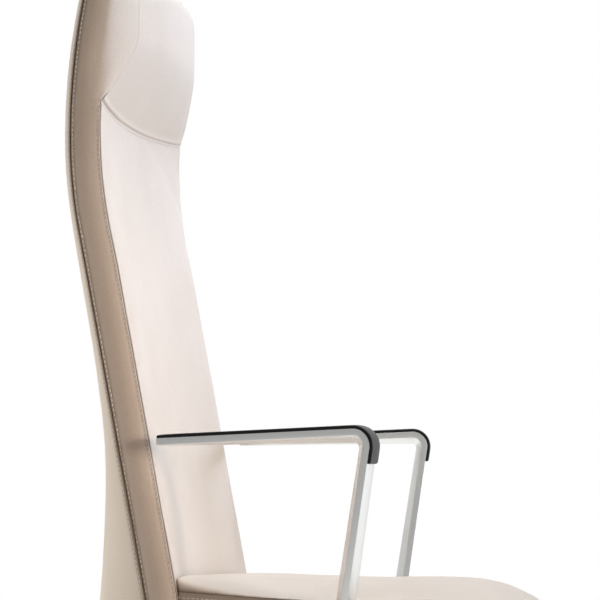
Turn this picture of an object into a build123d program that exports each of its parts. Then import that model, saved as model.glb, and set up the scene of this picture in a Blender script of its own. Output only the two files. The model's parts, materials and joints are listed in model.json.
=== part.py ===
from build123d import *
import os
from math import atan, cos, exp, radians, sin, sqrt, tan

# Swivel office chair with an upholstered high back, headrest, open metal arms, synchronised tilt,
# gas lift and a five-star base on twin-wheel casters. Millimetres. The chair faces -Y, +X is the
# sitter's left, +Z is up, and the origin is on the floor under the lift's axis.

# Fits and gaps
RUN_FIT = 0.05  # radial play of a turning or sliding fit
FREE_GAP = 0.3  # air between pieces that move past each other
SOFT_GAP = 0.5  # air between an upholstered piece and what carries it

# Casters
CASTER_COUNT = 5
WHEEL_DIA = 60
WHEEL_WIDTH = 19
WHEEL_EDGE = 4
WHEEL_DISH_DIA = 40
WHEEL_DISH_DEPTH = 2.5
WHEEL_FACE = 4
WEB_WIDTH = 17
CASTER_TRAIL = 20
CASTER_AXLE_DIA = 8
AXLE_BOSS_DIA = 20
HOOD_GAP = 2.5
HOOD_WALL = 3
HOOD_SIDE = 1
HOOD_EDGE = 2
CASTER_HEIGHT = 68
SWIVEL_BOSS_DIA = 24
STEM_DIA = 11
STEM_IN_CASTER = 19
STEM_IN_BASE = 20
STEM_COLLAR_DIA = 20
STEM_COLLAR = 3

# Five-star base
CASTER_CIRCLE = 318
LEG_END_DIA = 36
LEG_END_HEIGHT = 26
LEG_WIDTH_HUB = 54
LEG_WIDTH_END = 32
LEG_TOP_SHARE = 0.62
LEG_RISE = 40
LEG_DEPTH_HUB = 46
LEG_CROWN = 4
LEG_EDGE = 3
HUB_DIA = 78
HUB_HEIGHT = 74
HUB_EDGE = 6
HUB_BELOW_LEG = 4

# Gas lift
TUBE_DIA = 50
TUBE_WALL = 2.5
TUBE_TAPER = 0.8
TUBE_FOOT = 4
TUBE_BELOW_HUB = 4
TUBE_LENGTH = 214
BUSH_LENGTH = 68
BUSH_FLANGE = 3
CYLINDER_DIA = 28
CYLINDER_WALL = 2
CYLINDER_CAP = 9
CYLINDER_TAPER = 0.8
CYLINDER_ABOVE_SOCKET = 2
ROD_DIA = 10
PISTON_LENGTH = 14
PISTON_DROP = 38
BEARING_DIA = 27
BEARING_HEIGHT = 6
BUMPER_HEIGHT = 14
CLIP_DIA = 18
CLIP_THICKNESS = 2
ROD_BELOW_CLIP = 2
BUTTON_DIA = 8
BUTTON_REACH = 6

# Tilt mechanism
HOUSING_BOTTOM = 316
HOUSING_WIDTH = 150
HOUSING_FRONT = -146
HOUSING_REAR = 96
HOUSING_WALL = 5
HOUSING_FLOOR = 6
HOUSING_HEIGHT = 62
HOUSING_SLOPE_DROP = 22
HOUSING_CORNER = 16
HOUSING_EDGE = 5
SOCKET_DIA = 46
SOCKET_BELOW = 12
SOCKET_ABOVE = 34
AXLE_DIA = 12
AXLE_HEAD_DIA = 19
AXLE_HEAD = 3
FRONT_AXLE_Y = -125
FRONT_AXLE_RISE = 34
REAR_AXLE_Y = 75
REAR_AXLE_RISE = 24
SPRING_Y = -62
SPRING_DIA = 42
SPRING_WAIST = 4
SPRING_BORE = 18
CUP_DIA = 48
CUP_THICKNESS = 6
CUP_REST_GAP = 0.5
TENSION_SCREW_DIA = 10
TENSION_SCREW_RISE = 28
KNOB_DIA = 52
KNOB_HEIGHT = 24
KNOB_NECK_DIA = 26
KNOB_NECK = 7
KNOB_LOBES = 8
KNOB_SCALLOP_DIA = 14
KNOB_EDGE = 2

# Levers
LEVER_DIA = 8
LEVER_PIVOT_X = -50
LEVER_TIP = 1.5
LEVER_PIN_DIA = 5
POST_WIDTH = 12
POST_THICKNESS = 6
POST_ABOVE_PIN = 6
LEVER_SIDE_ROOM = 3
LEVER_EXIT_X = -86
LEVER_KNEE_X = -150
LEVER_KNEE_Y = -60
LEVER_DROP = 16
LEVER_END_X = -246
LEVER_BEND = 22
GRIP_LENGTH = 58
GRIP_WIDTH = 26
GRIP_THICKNESS = 13
GRIP_PAST_ROD = 10
LOCK_Y = 40
LOCK_RISE = 29
LOCK_INNER_X = 50
LOCK_END_X = 234
CAM_DIA = 18
CAM_WIDTH = 6
LOCK_GRIP_REACH = 40

# Seat support
CARRIER_RISE = 70
CARRIER_SIDE_MARGIN = 117
CARRIER_FRONT = -150
CARRIER_REAR = 185
CARRIER_THICKNESS = 6
CARRIER_CORNER = 24
EAR_THICKNESS = 5
FRONT_EAR_X = 64
FRONT_EAR_RADIUS = 13
REAR_EAR_X = 44
REAR_EAR_LENGTH = 34
REAR_EAR_BELOW = 13
SYNC_PIN_DIA = 8
SYNC_PIN_ARM = 88
SYNC_PIN_SIDE = 3
SYNC_SLOT_PLAY = 0.6
SYNC_SLOT_TRAVEL = 6
PAN_SIDE_MARGIN = 37
PAN_FRONT = -200
PAN_REAR = 186
PAN_THICKNESS = 12
PAN_CORNER = 60
BOLT_DIA = 8
BOLT_HEAD_DIA = 14
BOLT_HEAD = 5
BOLT_IN_PAN = 9
SEAT_BOLT_INSET = 30
SEAT_BOLT_FRONT_Y = -110
SEAT_BOLT_REAR_Y = 140

# Seat cushion
SEAT_THICKNESS = 66
SEAT_HALF_WIDTH = 247
SEAT_REAR_HALF_WIDTH = 222
SEAT_FRONT = -232
SEAT_FRONT_FLAT = 2
SEAT_REAR_GAP = 4
SEAT_REAR_ROUND = 26
SEAT_CROWN = 9
SEAT_DRAW_IN = 12
SEAT_TOP_INSET = 5
SEAT_FALL_START = -104
SEAT_FALL_POWER = 1.75
SEAT_NOSE = 10.7
SEAT_SET = 2.8
SEAT_SET_LENGTH = 135
SEAT_SAG = 2.8
SEAT_SAG_Y = 25
SEAT_SAG_LENGTH = 60
SEAT_FRONT_POWER = 4.5

# Back
BACK_SEAM_Y = 266  # rear edge of the side band, level with the seat's crown
BACK_ANGLE = 10.7
BACK_BOTTOM = 404
BACK_STRAIGHT_TOP = 915
BACK_LOWER_RADIUS = 600
BACK_UPPER_RADIUS = 1050
BACK_HALF_WIDTH = 226
BACK_BAND = 38
BACK_TAPER = 5
BACK_TAPER_START = 870
BACK_TAPER_LENGTH = 180
BACK_HOLLOW = 15
BACK_REAR_FLARE = 4
BACK_BOTTOM_ROUND = 26
SHELL_BULGE = 48
SHELL_FLARE = 0.29
SHELL_FLARE_TOP = 665
SHELL_FLARE_BLEND = 60
SHELL_WALL = 8
SHELL_TOP = 1284
SHELL_TOP_BULGE = 22
SHELL_UPPER_SWELL = 4
SHOULDER_DROP = 69
SHOULDER_HEIGHT = 72
SHOULDER_DRAW = 34
HEAD_HEIGHT = 198
HEAD_RISE = 90
HEAD_HALF_WIDTH = 164
HEAD_TOP_DEPTH = 37.7
HEAD_LEAD = 33
HEAD_BAND = 20
HEAD_CROWN = 9
HEAD_ROUND_DROP = 36
HEAD_ROUND_HEIGHT = 44
HEAD_ROUND_DEPTH = 42
HEAD_BELOW_SHELL = 5
HEAD_SEAM_STEP = 2
BOARD_HALF_WIDTH = 180
BOARD_THICKNESS = 8
BOARD_BOTTOM = 432
BOARD_TOP = 900
BRACKET_WIDTH = 70
BRACKET_THICKNESS = 12
BRACKET_BOSS_DIA = 28
BRACKET_BEND = 55
BRACKET_TOP = 640
BRACKET_SLOT_SIDE = 4
BACK_BOLT_X = 20
BACK_BOLT_LEVELS = (500, 610)
BOLT_IN_BOARD = 6

# Arms
ARM_WIDTH = 38
ARM_LEG_WIDTH = 45
ARM_KEEL_WIDTH = 10
ARM_FACE = 8.4
ARM_LENGTH = 274
ARM_SLOPE = 2.6
ARM_LEG_SLOPE = 8.3
ARM_TOE_OUT = 6
ARM_BESIDE_SEAT = 34
ARM_CORNER_Y = -32
ARM_CORNER_Z = 665
ARM_CORNER_RADIUS = 21
ARM_INNER_RADIUS = 12
ARM_KEEL_RADIUS = 6
ARM_KEEL_REAR = 0.8
ARM_KEEL_FRONT = 9.6
ARM_KEEL_LEG = 7
ARM_KEEL_FOOT = 11
FOOT_THICKNESS = 12
FOOT_REACH = 126
FOOT_FRONT_MARGIN = 4
FOOT_LENGTH = 50
ARM_BOLT_REACH = (70, 106)
PAD_THICKNESS = 3.4
PAD_GAP = 0.1
PAD_DROP = 44
PAD_EDGE = 1.5

os.makedirs("parts", exist_ok=True)


def finish(piece, name):
    """Label a finished piece and write it to its own file."""
    piece.part.label = name
    export_step(piece.part, "parts/" + name + ".step")


# Levels and places worked out from the driving dimensions
wheel_radius = WHEEL_DIA / 2
wheel_inner = WEB_WIDTH / 2 + 2 * FREE_GAP
hood_radius = wheel_radius + HOOD_GAP + HOOD_WALL
hood_half_width = wheel_inner + WHEEL_WIDTH + HOOD_SIDE
leg_end_bottom = CASTER_HEIGHT + STEM_COLLAR
leg_end_top = leg_end_bottom + LEG_END_HEIGHT
hub_bottom = leg_end_bottom - HUB_BELOW_LEG
hub_top = hub_bottom + HUB_HEIGHT
tube_bottom = hub_bottom - TUBE_BELOW_HUB
tube_top = tube_bottom + TUBE_LENGTH
bearing_bottom = tube_bottom + TUBE_FOOT + FREE_GAP
bumper_bottom = bearing_bottom + BEARING_HEIGHT
cylinder_bottom = bumper_bottom + BUMPER_HEIGHT + FREE_GAP
socket_bottom = HOUSING_BOTTOM - SOCKET_BELOW
socket_top = HOUSING_BOTTOM + SOCKET_ABOVE
cylinder_top = socket_top + CYLINDER_ABOVE_SOCKET
piston_top = cylinder_top - PISTON_DROP
button_top = cylinder_top + BUTTON_REACH
lever_z = button_top + FREE_GAP + LEVER_DIA / 2
floor_top = HOUSING_BOTTOM + HOUSING_FLOOR
front_axle_z = HOUSING_BOTTOM + FRONT_AXLE_RISE
rear_axle_z = HOUSING_BOTTOM + REAR_AXLE_RISE
lock_z = HOUSING_BOTTOM + LOCK_RISE
cup_bottom = floor_top + CUP_REST_GAP
cup_top = cup_bottom + CUP_THICKNESS
carrier_bottom = HOUSING_BOTTOM + CARRIER_RISE
carrier_top = carrier_bottom + CARRIER_THICKNESS
pan_top = carrier_top + PAN_THICKNESS
seat_bottom = pan_top + SOFT_GAP
seat_top = pan_top + SEAT_THICKNESS
sync_y = REAR_AXLE_Y + SYNC_PIN_ARM
carrier_width = 2 * (SEAT_HALF_WIDTH - CARRIER_SIDE_MARGIN)
pan_width = 2 * (SEAT_HALF_WIDTH - PAN_SIDE_MARGIN)
seat_bolt_x = carrier_width / 2 - SEAT_BOLT_INSET
shoulder_start = SHELL_TOP - SHOULDER_DROP
head_top = SHELL_TOP - HEAD_BELOW_SHELL
head_seam = head_top - HEAD_HEIGHT
head_round_start = head_top - HEAD_ROUND_DROP
back_slope = tan(radians(BACK_ANGLE))


def round_off(distance, size):
    """Depth lost at a distance past the start of a rounded edge of the given size."""
    share = min(max(distance / size, 0), 1)
    return 1 - sqrt(1 - share * share)


def back_seam_y(z):
    """Y of the rear edge of the back's side band: a straight lean, then two arcs that bend it forward."""
    bend_y = BACK_SEAM_Y + (BACK_STRAIGHT_TOP - seat_top) * back_slope
    if z <= BACK_STRAIGHT_TOP:
        return BACK_SEAM_Y + (z - seat_top) * back_slope
    lean = radians(BACK_ANGLE)
    apex_z = BACK_STRAIGHT_TOP + BACK_LOWER_RADIUS * sin(lean)
    apex_y = bend_y + BACK_LOWER_RADIUS * (1 - cos(lean))
    radius = BACK_LOWER_RADIUS if z < apex_z else BACK_UPPER_RADIUS
    return apex_y - radius + sqrt(radius * radius - (z - apex_z) ** 2)


def back_front_y(z):
    """Y of the front edge of the back's side band, which narrows towards the headrest."""
    share = min(max((z - BACK_TAPER_START) / BACK_TAPER_LENGTH, 0), 1)
    return back_seam_y(z) - BACK_BAND + BACK_TAPER * share


def back_half_width(z):
    """Half width of the back, drawn in at the shoulders and at the rounded lower edge."""
    shoulder = SHOULDER_DRAW * round_off(z - shoulder_start, SHOULDER_HEIGHT)
    lower = BACK_BOTTOM_ROUND * round_off(BACK_BOTTOM + BACK_BOTTOM_ROUND - z, BACK_BOTTOM_ROUND * 1.1)
    return BACK_HALF_WIDTH - shoulder - lower


def shell_bulge(z):
    """How far the rear shell swells behind the seam on the centre line."""
    below = SHELL_FLARE_TOP - z
    flare = SHELL_FLARE * (sqrt(below * below + SHELL_FLARE_BLEND**2) + below) / 2
    lower = BACK_BOTTOM_ROUND * round_off(BACK_BOTTOM + BACK_BOTTOM_ROUND - z, BACK_BOTTOM_ROUND * 1.1)
    upper = (SHELL_BULGE - SHELL_TOP_BULGE) * round_off(z - shoulder_start, SHELL_TOP - shoulder_start)
    swell = min(max((z - BACK_STRAIGHT_TOP) / (head_seam - BACK_STRAIGHT_TOP), 0), 1)
    return SHELL_BULGE + flare + SHELL_UPPER_SWELL * swell - lower - upper


def head_blend(z):
    """1 at the seam under the headrest, 0 where the pad has its full form."""
    return max(1 - (z - head_seam) / HEAD_RISE, 0) ** 1.55


def head_front_y(z):
    """Y of the headrest's front seam."""
    top = HEAD_ROUND_DEPTH * round_off(z - head_round_start, HEAD_ROUND_HEIGHT)
    return back_seam_y(head_top) - HEAD_TOP_DEPTH + HEAD_LEAD * head_blend(z) + top


def seat_half_width(y):
    """Half width of the seat in plan."""
    if y < 0:
        share = (y / (SEAT_FRONT - SEAT_FRONT_FLAT)) ** SEAT_FRONT_POWER
        return SEAT_HALF_WIDTH * (1 - share) ** (1 / SEAT_FRONT_POWER)
    taper = (SEAT_HALF_WIDTH - SEAT_REAR_HALF_WIDTH) * (y / seat_rear) ** 2
    corner = SEAT_REAR_ROUND * round_off(y - seat_rear + SEAT_REAR_ROUND, SEAT_REAR_ROUND * 1.05)
    return SEAT_HALF_WIDTH - taper - corner


def seat_crown_z(y):
    """Height of the seat on its centre line: highest at the rear, a little sat in, falling away in front."""
    share = min(max((seat_rear - y) / SEAT_SET_LENGTH, 0), 1)
    settled = SEAT_SET * share * share * (3 - 2 * share)
    sag = SEAT_SAG * exp(-(((y - SEAT_SAG_Y) / SEAT_SAG_LENGTH) ** 2))
    reach = max((SEAT_FALL_START - y) / (SEAT_FALL_START - SEAT_FRONT), 0)
    return seat_top - settled - sag - (SEAT_THICKNESS - SEAT_SET - SEAT_NOSE) * reach**SEAT_FALL_POWER


seat_mid_z = (seat_bottom + seat_top) / 2
seat_rear = back_seam_y(seat_mid_z) - BACK_BAND - SEAT_REAR_GAP

# Casters
caster_places = [loc.position for loc in PolarLocations(CASTER_CIRCLE, CASTER_COUNT, start_angle=-90)]

with BuildPart() as caster_stems:
    for place in caster_places:
        with BuildSketch(Plane((place.X, place.Y, CASTER_HEIGHT - STEM_IN_CASTER + FREE_GAP))):
            Circle(STEM_DIA / 2)
        extrude(amount=STEM_IN_CASTER + STEM_COLLAR + STEM_IN_BASE - FREE_GAP)
        with BuildSketch(Plane((place.X, place.Y, CASTER_HEIGHT + FREE_GAP))):
            Circle(STEM_COLLAR_DIA / 2)
        extrude(amount=STEM_COLLAR - FREE_GAP)
finish(caster_stems, "caster_stems")

for index, place in enumerate(caster_places, start=1):
    wheel_y = place.Y + CASTER_TRAIL
    side_plane = Plane((place.X, wheel_y, wheel_radius), x_dir=(0, 1, 0), z_dir=(1, 0, 0))
    with BuildPart() as caster_hood:
        with BuildSketch(side_plane):
            Circle(hood_radius)
            with Locations((0, -hood_radius)):
                Rectangle(2 * hood_radius, 2 * hood_radius, mode=Mode.SUBTRACT)
        extrude(amount=hood_half_width, both=True)
        rims = caster_hood.edges().filter_by(GeomType.CIRCLE)
        fillet(rims, HOOD_EDGE)
        with BuildSketch(Plane((place.X, place.Y, CASTER_HEIGHT))):
            Circle(SWIVEL_BOSS_DIA / 2)
        extrude(amount=-(CASTER_HEIGHT - wheel_radius))
        with BuildSketch(side_plane):
            Circle(AXLE_BOSS_DIA / 2)
        extrude(amount=WEB_WIDTH / 2, both=True)
        for side in (-1, 1):
            with BuildSketch(side_plane.offset(side * WEB_WIDTH / 2)):
                Circle(hood_radius - HOOD_WALL)
            extrude(amount=side * 2 * WHEEL_WIDTH, mode=Mode.SUBTRACT)
        with BuildSketch(side_plane):
            Circle(CASTER_AXLE_DIA / 2 + RUN_FIT)
        extrude(amount=WEB_WIDTH, both=True, mode=Mode.SUBTRACT)
        with BuildSketch(Plane((place.X, place.Y, CASTER_HEIGHT))):
            Circle(STEM_DIA / 2 + RUN_FIT)
        extrude(amount=-STEM_IN_CASTER, mode=Mode.SUBTRACT)
    finish(caster_hood, f"caster_{index}_hood")

    axle_half = wheel_inner + WHEEL_WIDTH - WHEEL_FACE - FREE_GAP
    with BuildPart() as caster_axle:
        with BuildSketch(side_plane):
            Circle(CASTER_AXLE_DIA / 2)
        extrude(amount=axle_half, both=True)
    finish(caster_axle, f"caster_{index}_axle")

    for side, side_name in ((-1, "right"), (1, "left")):
        wheel_plane = side_plane.offset(side * wheel_inner)
        with BuildPart() as caster_wheel:
            with BuildSketch(wheel_plane):
                Circle(wheel_radius)
            extrude(amount=side * WHEEL_WIDTH)
            fillet(caster_wheel.edges().sort_by(Axis.X)[0 if side < 0 else -1], WHEEL_EDGE)
            with BuildSketch(wheel_plane.offset(side * WHEEL_WIDTH)):
                Circle(WHEEL_DISH_DIA / 2)
                Circle(WHEEL_DISH_DIA / 4, mode=Mode.SUBTRACT)
            extrude(amount=-side * WHEEL_DISH_DEPTH, mode=Mode.SUBTRACT)
            with BuildSketch(wheel_plane):
                Circle(CASTER_AXLE_DIA / 2 + RUN_FIT)
            extrude(amount=side * (WHEEL_WIDTH - WHEEL_FACE), mode=Mode.SUBTRACT)
        finish(caster_wheel, f"caster_{index}_wheel_{side_name}")

# Five-star base: one leg, then the hub with five of them
leg_sections = (
    (HUB_DIA / 4, LEG_WIDTH_HUB, leg_end_top + LEG_RISE, LEG_DEPTH_HUB),
    (CASTER_CIRCLE / 2, (LEG_WIDTH_HUB + LEG_WIDTH_END) / 2, leg_end_top + LEG_RISE * 0.62,
     (LEG_DEPTH_HUB + LEG_END_HEIGHT) / 2),
    (CASTER_CIRCLE, LEG_WIDTH_END, leg_end_top, LEG_END_HEIGHT),
)
with BuildPart() as base_leg:
    for reach, width, top, depth in leg_sections:
        half_top = width * LEG_TOP_SHARE / 2
        with BuildSketch(Plane((0, -reach, 0), x_dir=(1, 0, 0), z_dir=(0, -1, 0))):
            with BuildLine():
                Polyline((-half_top, top - LEG_CROWN), (-width / 2, top - depth),
                         (width / 2, top - depth), (half_top, top - LEG_CROWN))
                ThreePointArc((half_top, top - LEG_CROWN), (0, top), (-half_top, top - LEG_CROWN))
            make_face()
    loft()
    ridges = base_leg.edges().filter_by(lambda e: e.length > CASTER_CIRCLE / 2).sort_by(Axis.Z)[-2:]
    fillet(ridges, LEG_EDGE)
    with BuildSketch(Plane((0, -CASTER_CIRCLE, leg_end_bottom))):
        Circle(LEG_END_DIA / 2)
    extrude(amount=LEG_END_HEIGHT - LEG_CROWN / 2)
    fillet(base_leg.edges().filter_by(GeomType.CIRCLE).sort_by(Axis.Z)[-1], LEG_EDGE)

with BuildPart() as star_base:
    with BuildSketch(Plane.XY.offset(hub_bottom)):
        Circle(HUB_DIA / 2)
    extrude(amount=HUB_HEIGHT)
    fillet(star_base.edges().sort_by(Axis.Z)[-1], HUB_EDGE)
    with PolarLocations(0, CASTER_COUNT):
        add(base_leg.part)
    with BuildSketch(Plane.XZ):
        with BuildLine():
            Polyline((0, hub_bottom), (TUBE_DIA / 2 - TUBE_TAPER + RUN_FIT, hub_bottom),
                     (TUBE_DIA / 2 + RUN_FIT, hub_top), (0, hub_top), close=True)
        make_face()
    revolve(axis=Axis.Z, mode=Mode.SUBTRACT)
    for place in caster_places:
        with BuildSketch(Plane((place.X, place.Y, leg_end_bottom))):
            Circle(STEM_DIA / 2 + RUN_FIT)
        extrude(amount=STEM_IN_BASE + FREE_GAP, mode=Mode.SUBTRACT)
finish(star_base, "star_base")


def ring(outer_radius, inner_radius):
    """Flat ring, drawn in the sketch that is open."""
    Circle(outer_radius)
    Circle(inner_radius, mode=Mode.SUBTRACT)


# Gas lift
rod_radius = ROD_DIA / 2
tube_inner = TUBE_DIA / 2 - TUBE_WALL
with BuildPart() as lift_outer_tube:
    with BuildSketch(Plane.XZ):
        with BuildLine():
            Polyline((rod_radius + RUN_FIT, tube_bottom), (TUBE_DIA / 2 - TUBE_TAPER, tube_bottom),
                     (TUBE_DIA / 2 - TUBE_TAPER, hub_bottom), (TUBE_DIA / 2, hub_top),
                     (TUBE_DIA / 2, tube_top), (tube_inner, tube_top),
                     (tube_inner, tube_bottom + TUBE_FOOT),
                     (rod_radius + RUN_FIT, tube_bottom + TUBE_FOOT), close=True)
        make_face()
    revolve(axis=Axis.Z)
finish(lift_outer_tube, "lift_outer_tube")

with BuildPart() as lift_guide_bush:
    with BuildSketch(Plane.XY.offset(tube_top - BUSH_LENGTH)):
        ring(tube_inner - RUN_FIT, CYLINDER_DIA / 2 + RUN_FIT)
    extrude(amount=BUSH_LENGTH)
    with BuildSketch(Plane.XY.offset(tube_top)):
        ring(TUBE_DIA / 2, CYLINDER_DIA / 2 + RUN_FIT)
    extrude(amount=BUSH_FLANGE)
    fillet(lift_guide_bush.edges().group_by(Axis.Z)[-1].sort_by(SortBy.RADIUS)[-1], BUSH_FLANGE / 2)
finish(lift_guide_bush, "lift_guide_bush")

with BuildPart() as lift_piston_rod:
    with BuildSketch(Plane.XY.offset(tube_bottom - FREE_GAP - CLIP_THICKNESS - ROD_BELOW_CLIP)):
        Circle(rod_radius)
    extrude(amount=piston_top - tube_bottom + FREE_GAP + CLIP_THICKNESS + ROD_BELOW_CLIP)
finish(lift_piston_rod, "lift_piston_rod")

with BuildPart() as lift_piston:
    with BuildSketch(Plane.XY.offset(piston_top - PISTON_LENGTH)):
        ring(CYLINDER_DIA / 2 - CYLINDER_WALL - RUN_FIT, rod_radius + RUN_FIT)
    extrude(amount=PISTON_LENGTH)
finish(lift_piston, "lift_piston")

with BuildPart() as lift_thrust_bearing:
    with BuildSketch(Plane.XY.offset(bearing_bottom)):
        ring(BEARING_DIA / 2, rod_radius + RUN_FIT)
    extrude(amount=BEARING_HEIGHT)
finish(lift_thrust_bearing, "lift_thrust_bearing")

with BuildPart() as lift_bumper:
    with BuildSketch(Plane.XY.offset(bumper_bottom)):
        ring(BEARING_DIA / 2, rod_radius + RUN_FIT)
    extrude(amount=BUMPER_HEIGHT)
finish(lift_bumper, "lift_bumper")

with BuildPart() as lift_clip:
    with BuildSketch(Plane.XY.offset(tube_bottom - FREE_GAP - CLIP_THICKNESS)):
        ring(CLIP_DIA / 2, rod_radius + RUN_FIT)
    extrude(amount=CLIP_THICKNESS)
finish(lift_clip, "lift_clip")

cylinder_radius = CYLINDER_DIA / 2
cylinder_tip = cylinder_radius - CYLINDER_TAPER
with BuildPart() as lift_cylinder:
    with BuildSketch(Plane.XZ):
        with BuildLine():
            Polyline((0, cylinder_bottom), (cylinder_radius, cylinder_bottom),
                     (cylinder_radius, socket_bottom), (cylinder_tip, socket_top),
                     (cylinder_tip, cylinder_top), (0, cylinder_top), close=True)
        make_face()
    revolve(axis=Axis.Z)
    with BuildSketch(Plane.XY.offset(cylinder_bottom + CYLINDER_CAP)):
        Circle(cylinder_radius - CYLINDER_WALL)
    extrude(amount=cylinder_top - cylinder_bottom - 2 * CYLINDER_CAP - SOCKET_ABOVE / 2, mode=Mode.SUBTRACT)
    with BuildSketch(Plane.XY.offset(cylinder_bottom)):
        Circle(rod_radius + RUN_FIT)
    extrude(amount=CYLINDER_CAP, mode=Mode.SUBTRACT)
    with BuildSketch(Plane.XY.offset(cylinder_top)):
        Circle(BUTTON_DIA / 2 + RUN_FIT)
    extrude(amount=-2 * CYLINDER_CAP, mode=Mode.SUBTRACT)
finish(lift_cylinder, "lift_cylinder")

with BuildPart() as lift_valve_button:
    with BuildSketch(Plane.XY.offset(button_top)):
        Circle(BUTTON_DIA / 2)
    extrude(amount=-(BUTTON_REACH + CYLINDER_CAP))
finish(lift_valve_button, "lift_valve_button")

# Tilt mechanism housing
housing_length = HOUSING_REAR - HOUSING_FRONT
housing_mid = (HOUSING_REAR + HOUSING_FRONT) / 2
housing_top = HOUSING_BOTTOM + HOUSING_HEIGHT
lever_pin_radius = LEVER_PIN_DIA / 2
post_offset = LEVER_DIA / 2 + LEVER_SIDE_ROOM
with BuildPart() as mechanism_housing:
    with BuildSketch(Plane((0, housing_mid, HOUSING_BOTTOM))):
        RectangleRounded(HOUSING_WIDTH, housing_length, HOUSING_CORNER)
    extrude(amount=HOUSING_HEIGHT)
    fillet(mechanism_housing.edges().group_by(Axis.Z)[0], HOUSING_EDGE)
    with BuildSketch(Plane((0, housing_mid, floor_top))):
        RectangleRounded(HOUSING_WIDTH - 2 * HOUSING_WALL, housing_length - 2 * HOUSING_WALL,
                         HOUSING_CORNER - HOUSING_WALL)
    extrude(amount=HOUSING_HEIGHT, mode=Mode.SUBTRACT)
    with BuildSketch(Plane.YZ):
        with BuildLine():
            Polyline((HOUSING_FRONT, housing_top), (HOUSING_REAR, housing_top - HOUSING_SLOPE_DROP),
                     (HOUSING_REAR, housing_top), close=True)
        make_face()
    extrude(amount=HOUSING_WIDTH, both=True, mode=Mode.SUBTRACT)
    with BuildSketch(Plane.XY.offset(socket_bottom)):
        Circle(SOCKET_DIA / 2)
    extrude(amount=SOCKET_BELOW + SOCKET_ABOVE)
    for side in (-1, 1):
        with BuildSketch(Plane((LEVER_PIVOT_X, side * (post_offset + POST_THICKNESS / 2), floor_top))):
            Rectangle(POST_WIDTH, POST_THICKNESS)
        extrude(amount=lever_z + POST_ABOVE_PIN - floor_top)
    with BuildSketch(Plane.XZ):
        with BuildLine():
            Polyline((0, socket_bottom), (cylinder_radius + RUN_FIT, socket_bottom),
                     (cylinder_tip + RUN_FIT, socket_top), (0, socket_top), close=True)
        make_face()
    revolve(axis=Axis.Z, mode=Mode.SUBTRACT)
    with BuildSketch(Plane.YZ):
        with Locations((FRONT_AXLE_Y, front_axle_z), (REAR_AXLE_Y, rear_axle_z)):
            Circle(AXLE_DIA / 2 + RUN_FIT)
    extrude(amount=HOUSING_WIDTH, both=True, mode=Mode.SUBTRACT)
    with BuildSketch(Plane.YZ):
        with Locations((LOCK_Y, lock_z)):
            Circle(LEVER_DIA / 2 + RUN_FIT)
    extrude(amount=HOUSING_WIDTH, mode=Mode.SUBTRACT)
    with BuildSketch(Plane.XZ.offset(-post_offset - POST_THICKNESS)):
        with Locations((LEVER_PIVOT_X, lever_z)):
            Circle(lever_pin_radius + RUN_FIT)
    extrude(amount=2 * (post_offset + POST_THICKNESS), mode=Mode.SUBTRACT)
    with BuildSketch(Plane((-HOUSING_WIDTH / 2, 0, lever_z - LEVER_DIA))):
        Rectangle(4 * HOUSING_WALL, LEVER_DIA + 2 * LEVER_SIDE_ROOM)
    extrude(amount=HOUSING_HEIGHT, mode=Mode.SUBTRACT)
    with BuildSketch(Plane((0, HOUSING_REAR, floor_top))):
        Rectangle(BRACKET_WIDTH + 4 * HOUSING_WALL, 4 * HOUSING_WALL)
    extrude(amount=HOUSING_HEIGHT, mode=Mode.SUBTRACT)
    with BuildSketch(Plane((0, SPRING_Y, HOUSING_BOTTOM))):
        Circle(TENSION_SCREW_DIA / 2 + RUN_FIT)
    extrude(amount=HOUSING_FLOOR, mode=Mode.SUBTRACT)
finish(mechanism_housing, "mechanism_housing")

axle_head_inner = HOUSING_WIDTH / 2 + FREE_GAP
for axle_name, axle_y, axle_z in (("front_axle", FRONT_AXLE_Y, front_axle_z),
                                  ("rear_axle", REAR_AXLE_Y, rear_axle_z)):
    axle_plane = Plane((0, axle_y, axle_z), x_dir=(0, 1, 0), z_dir=(1, 0, 0))
    with BuildPart() as tilt_axle:
        with BuildSketch(axle_plane):
            Circle(AXLE_DIA / 2)
        extrude(amount=axle_head_inner + AXLE_HEAD, both=True)
        for side in (-1, 1):
            with BuildSketch(axle_plane.offset(side * axle_head_inner)):
                Circle(AXLE_HEAD_DIA / 2)
            extrude(amount=side * AXLE_HEAD)
    finish(tilt_axle, axle_name)

# Rubber spring, its cup, and the knob and screw that set its preload
screw_radius = TENSION_SCREW_DIA / 2
spring_bottom = cup_top + FREE_GAP
spring_top = carrier_bottom - FREE_GAP
spring_mid = (spring_bottom + spring_top) / 2
with BuildPart() as tilt_spring:
    with BuildSketch(Plane.YZ):
        with BuildLine():
            Polyline((SPRING_Y + SPRING_DIA / 2, spring_top), (SPRING_Y + SPRING_BORE / 2, spring_top),
                     (SPRING_Y + SPRING_BORE / 2, spring_bottom),
                     (SPRING_Y + SPRING_DIA / 2, spring_bottom))
            ThreePointArc((SPRING_Y + SPRING_DIA / 2, spring_bottom),
                          (SPRING_Y + SPRING_DIA / 2 - SPRING_WAIST, spring_mid),
                          (SPRING_Y + SPRING_DIA / 2, spring_top))
        make_face()
    revolve(axis=Axis((0, SPRING_Y, 0), (0, 0, 1)))
finish(tilt_spring, "tilt_spring")

with BuildPart() as spring_cup:
    with BuildSketch(Plane((0, SPRING_Y, cup_bottom))):
        ring(CUP_DIA / 2, screw_radius + RUN_FIT)
    extrude(amount=CUP_THICKNESS)
finish(spring_cup, "spring_cup")

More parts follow.
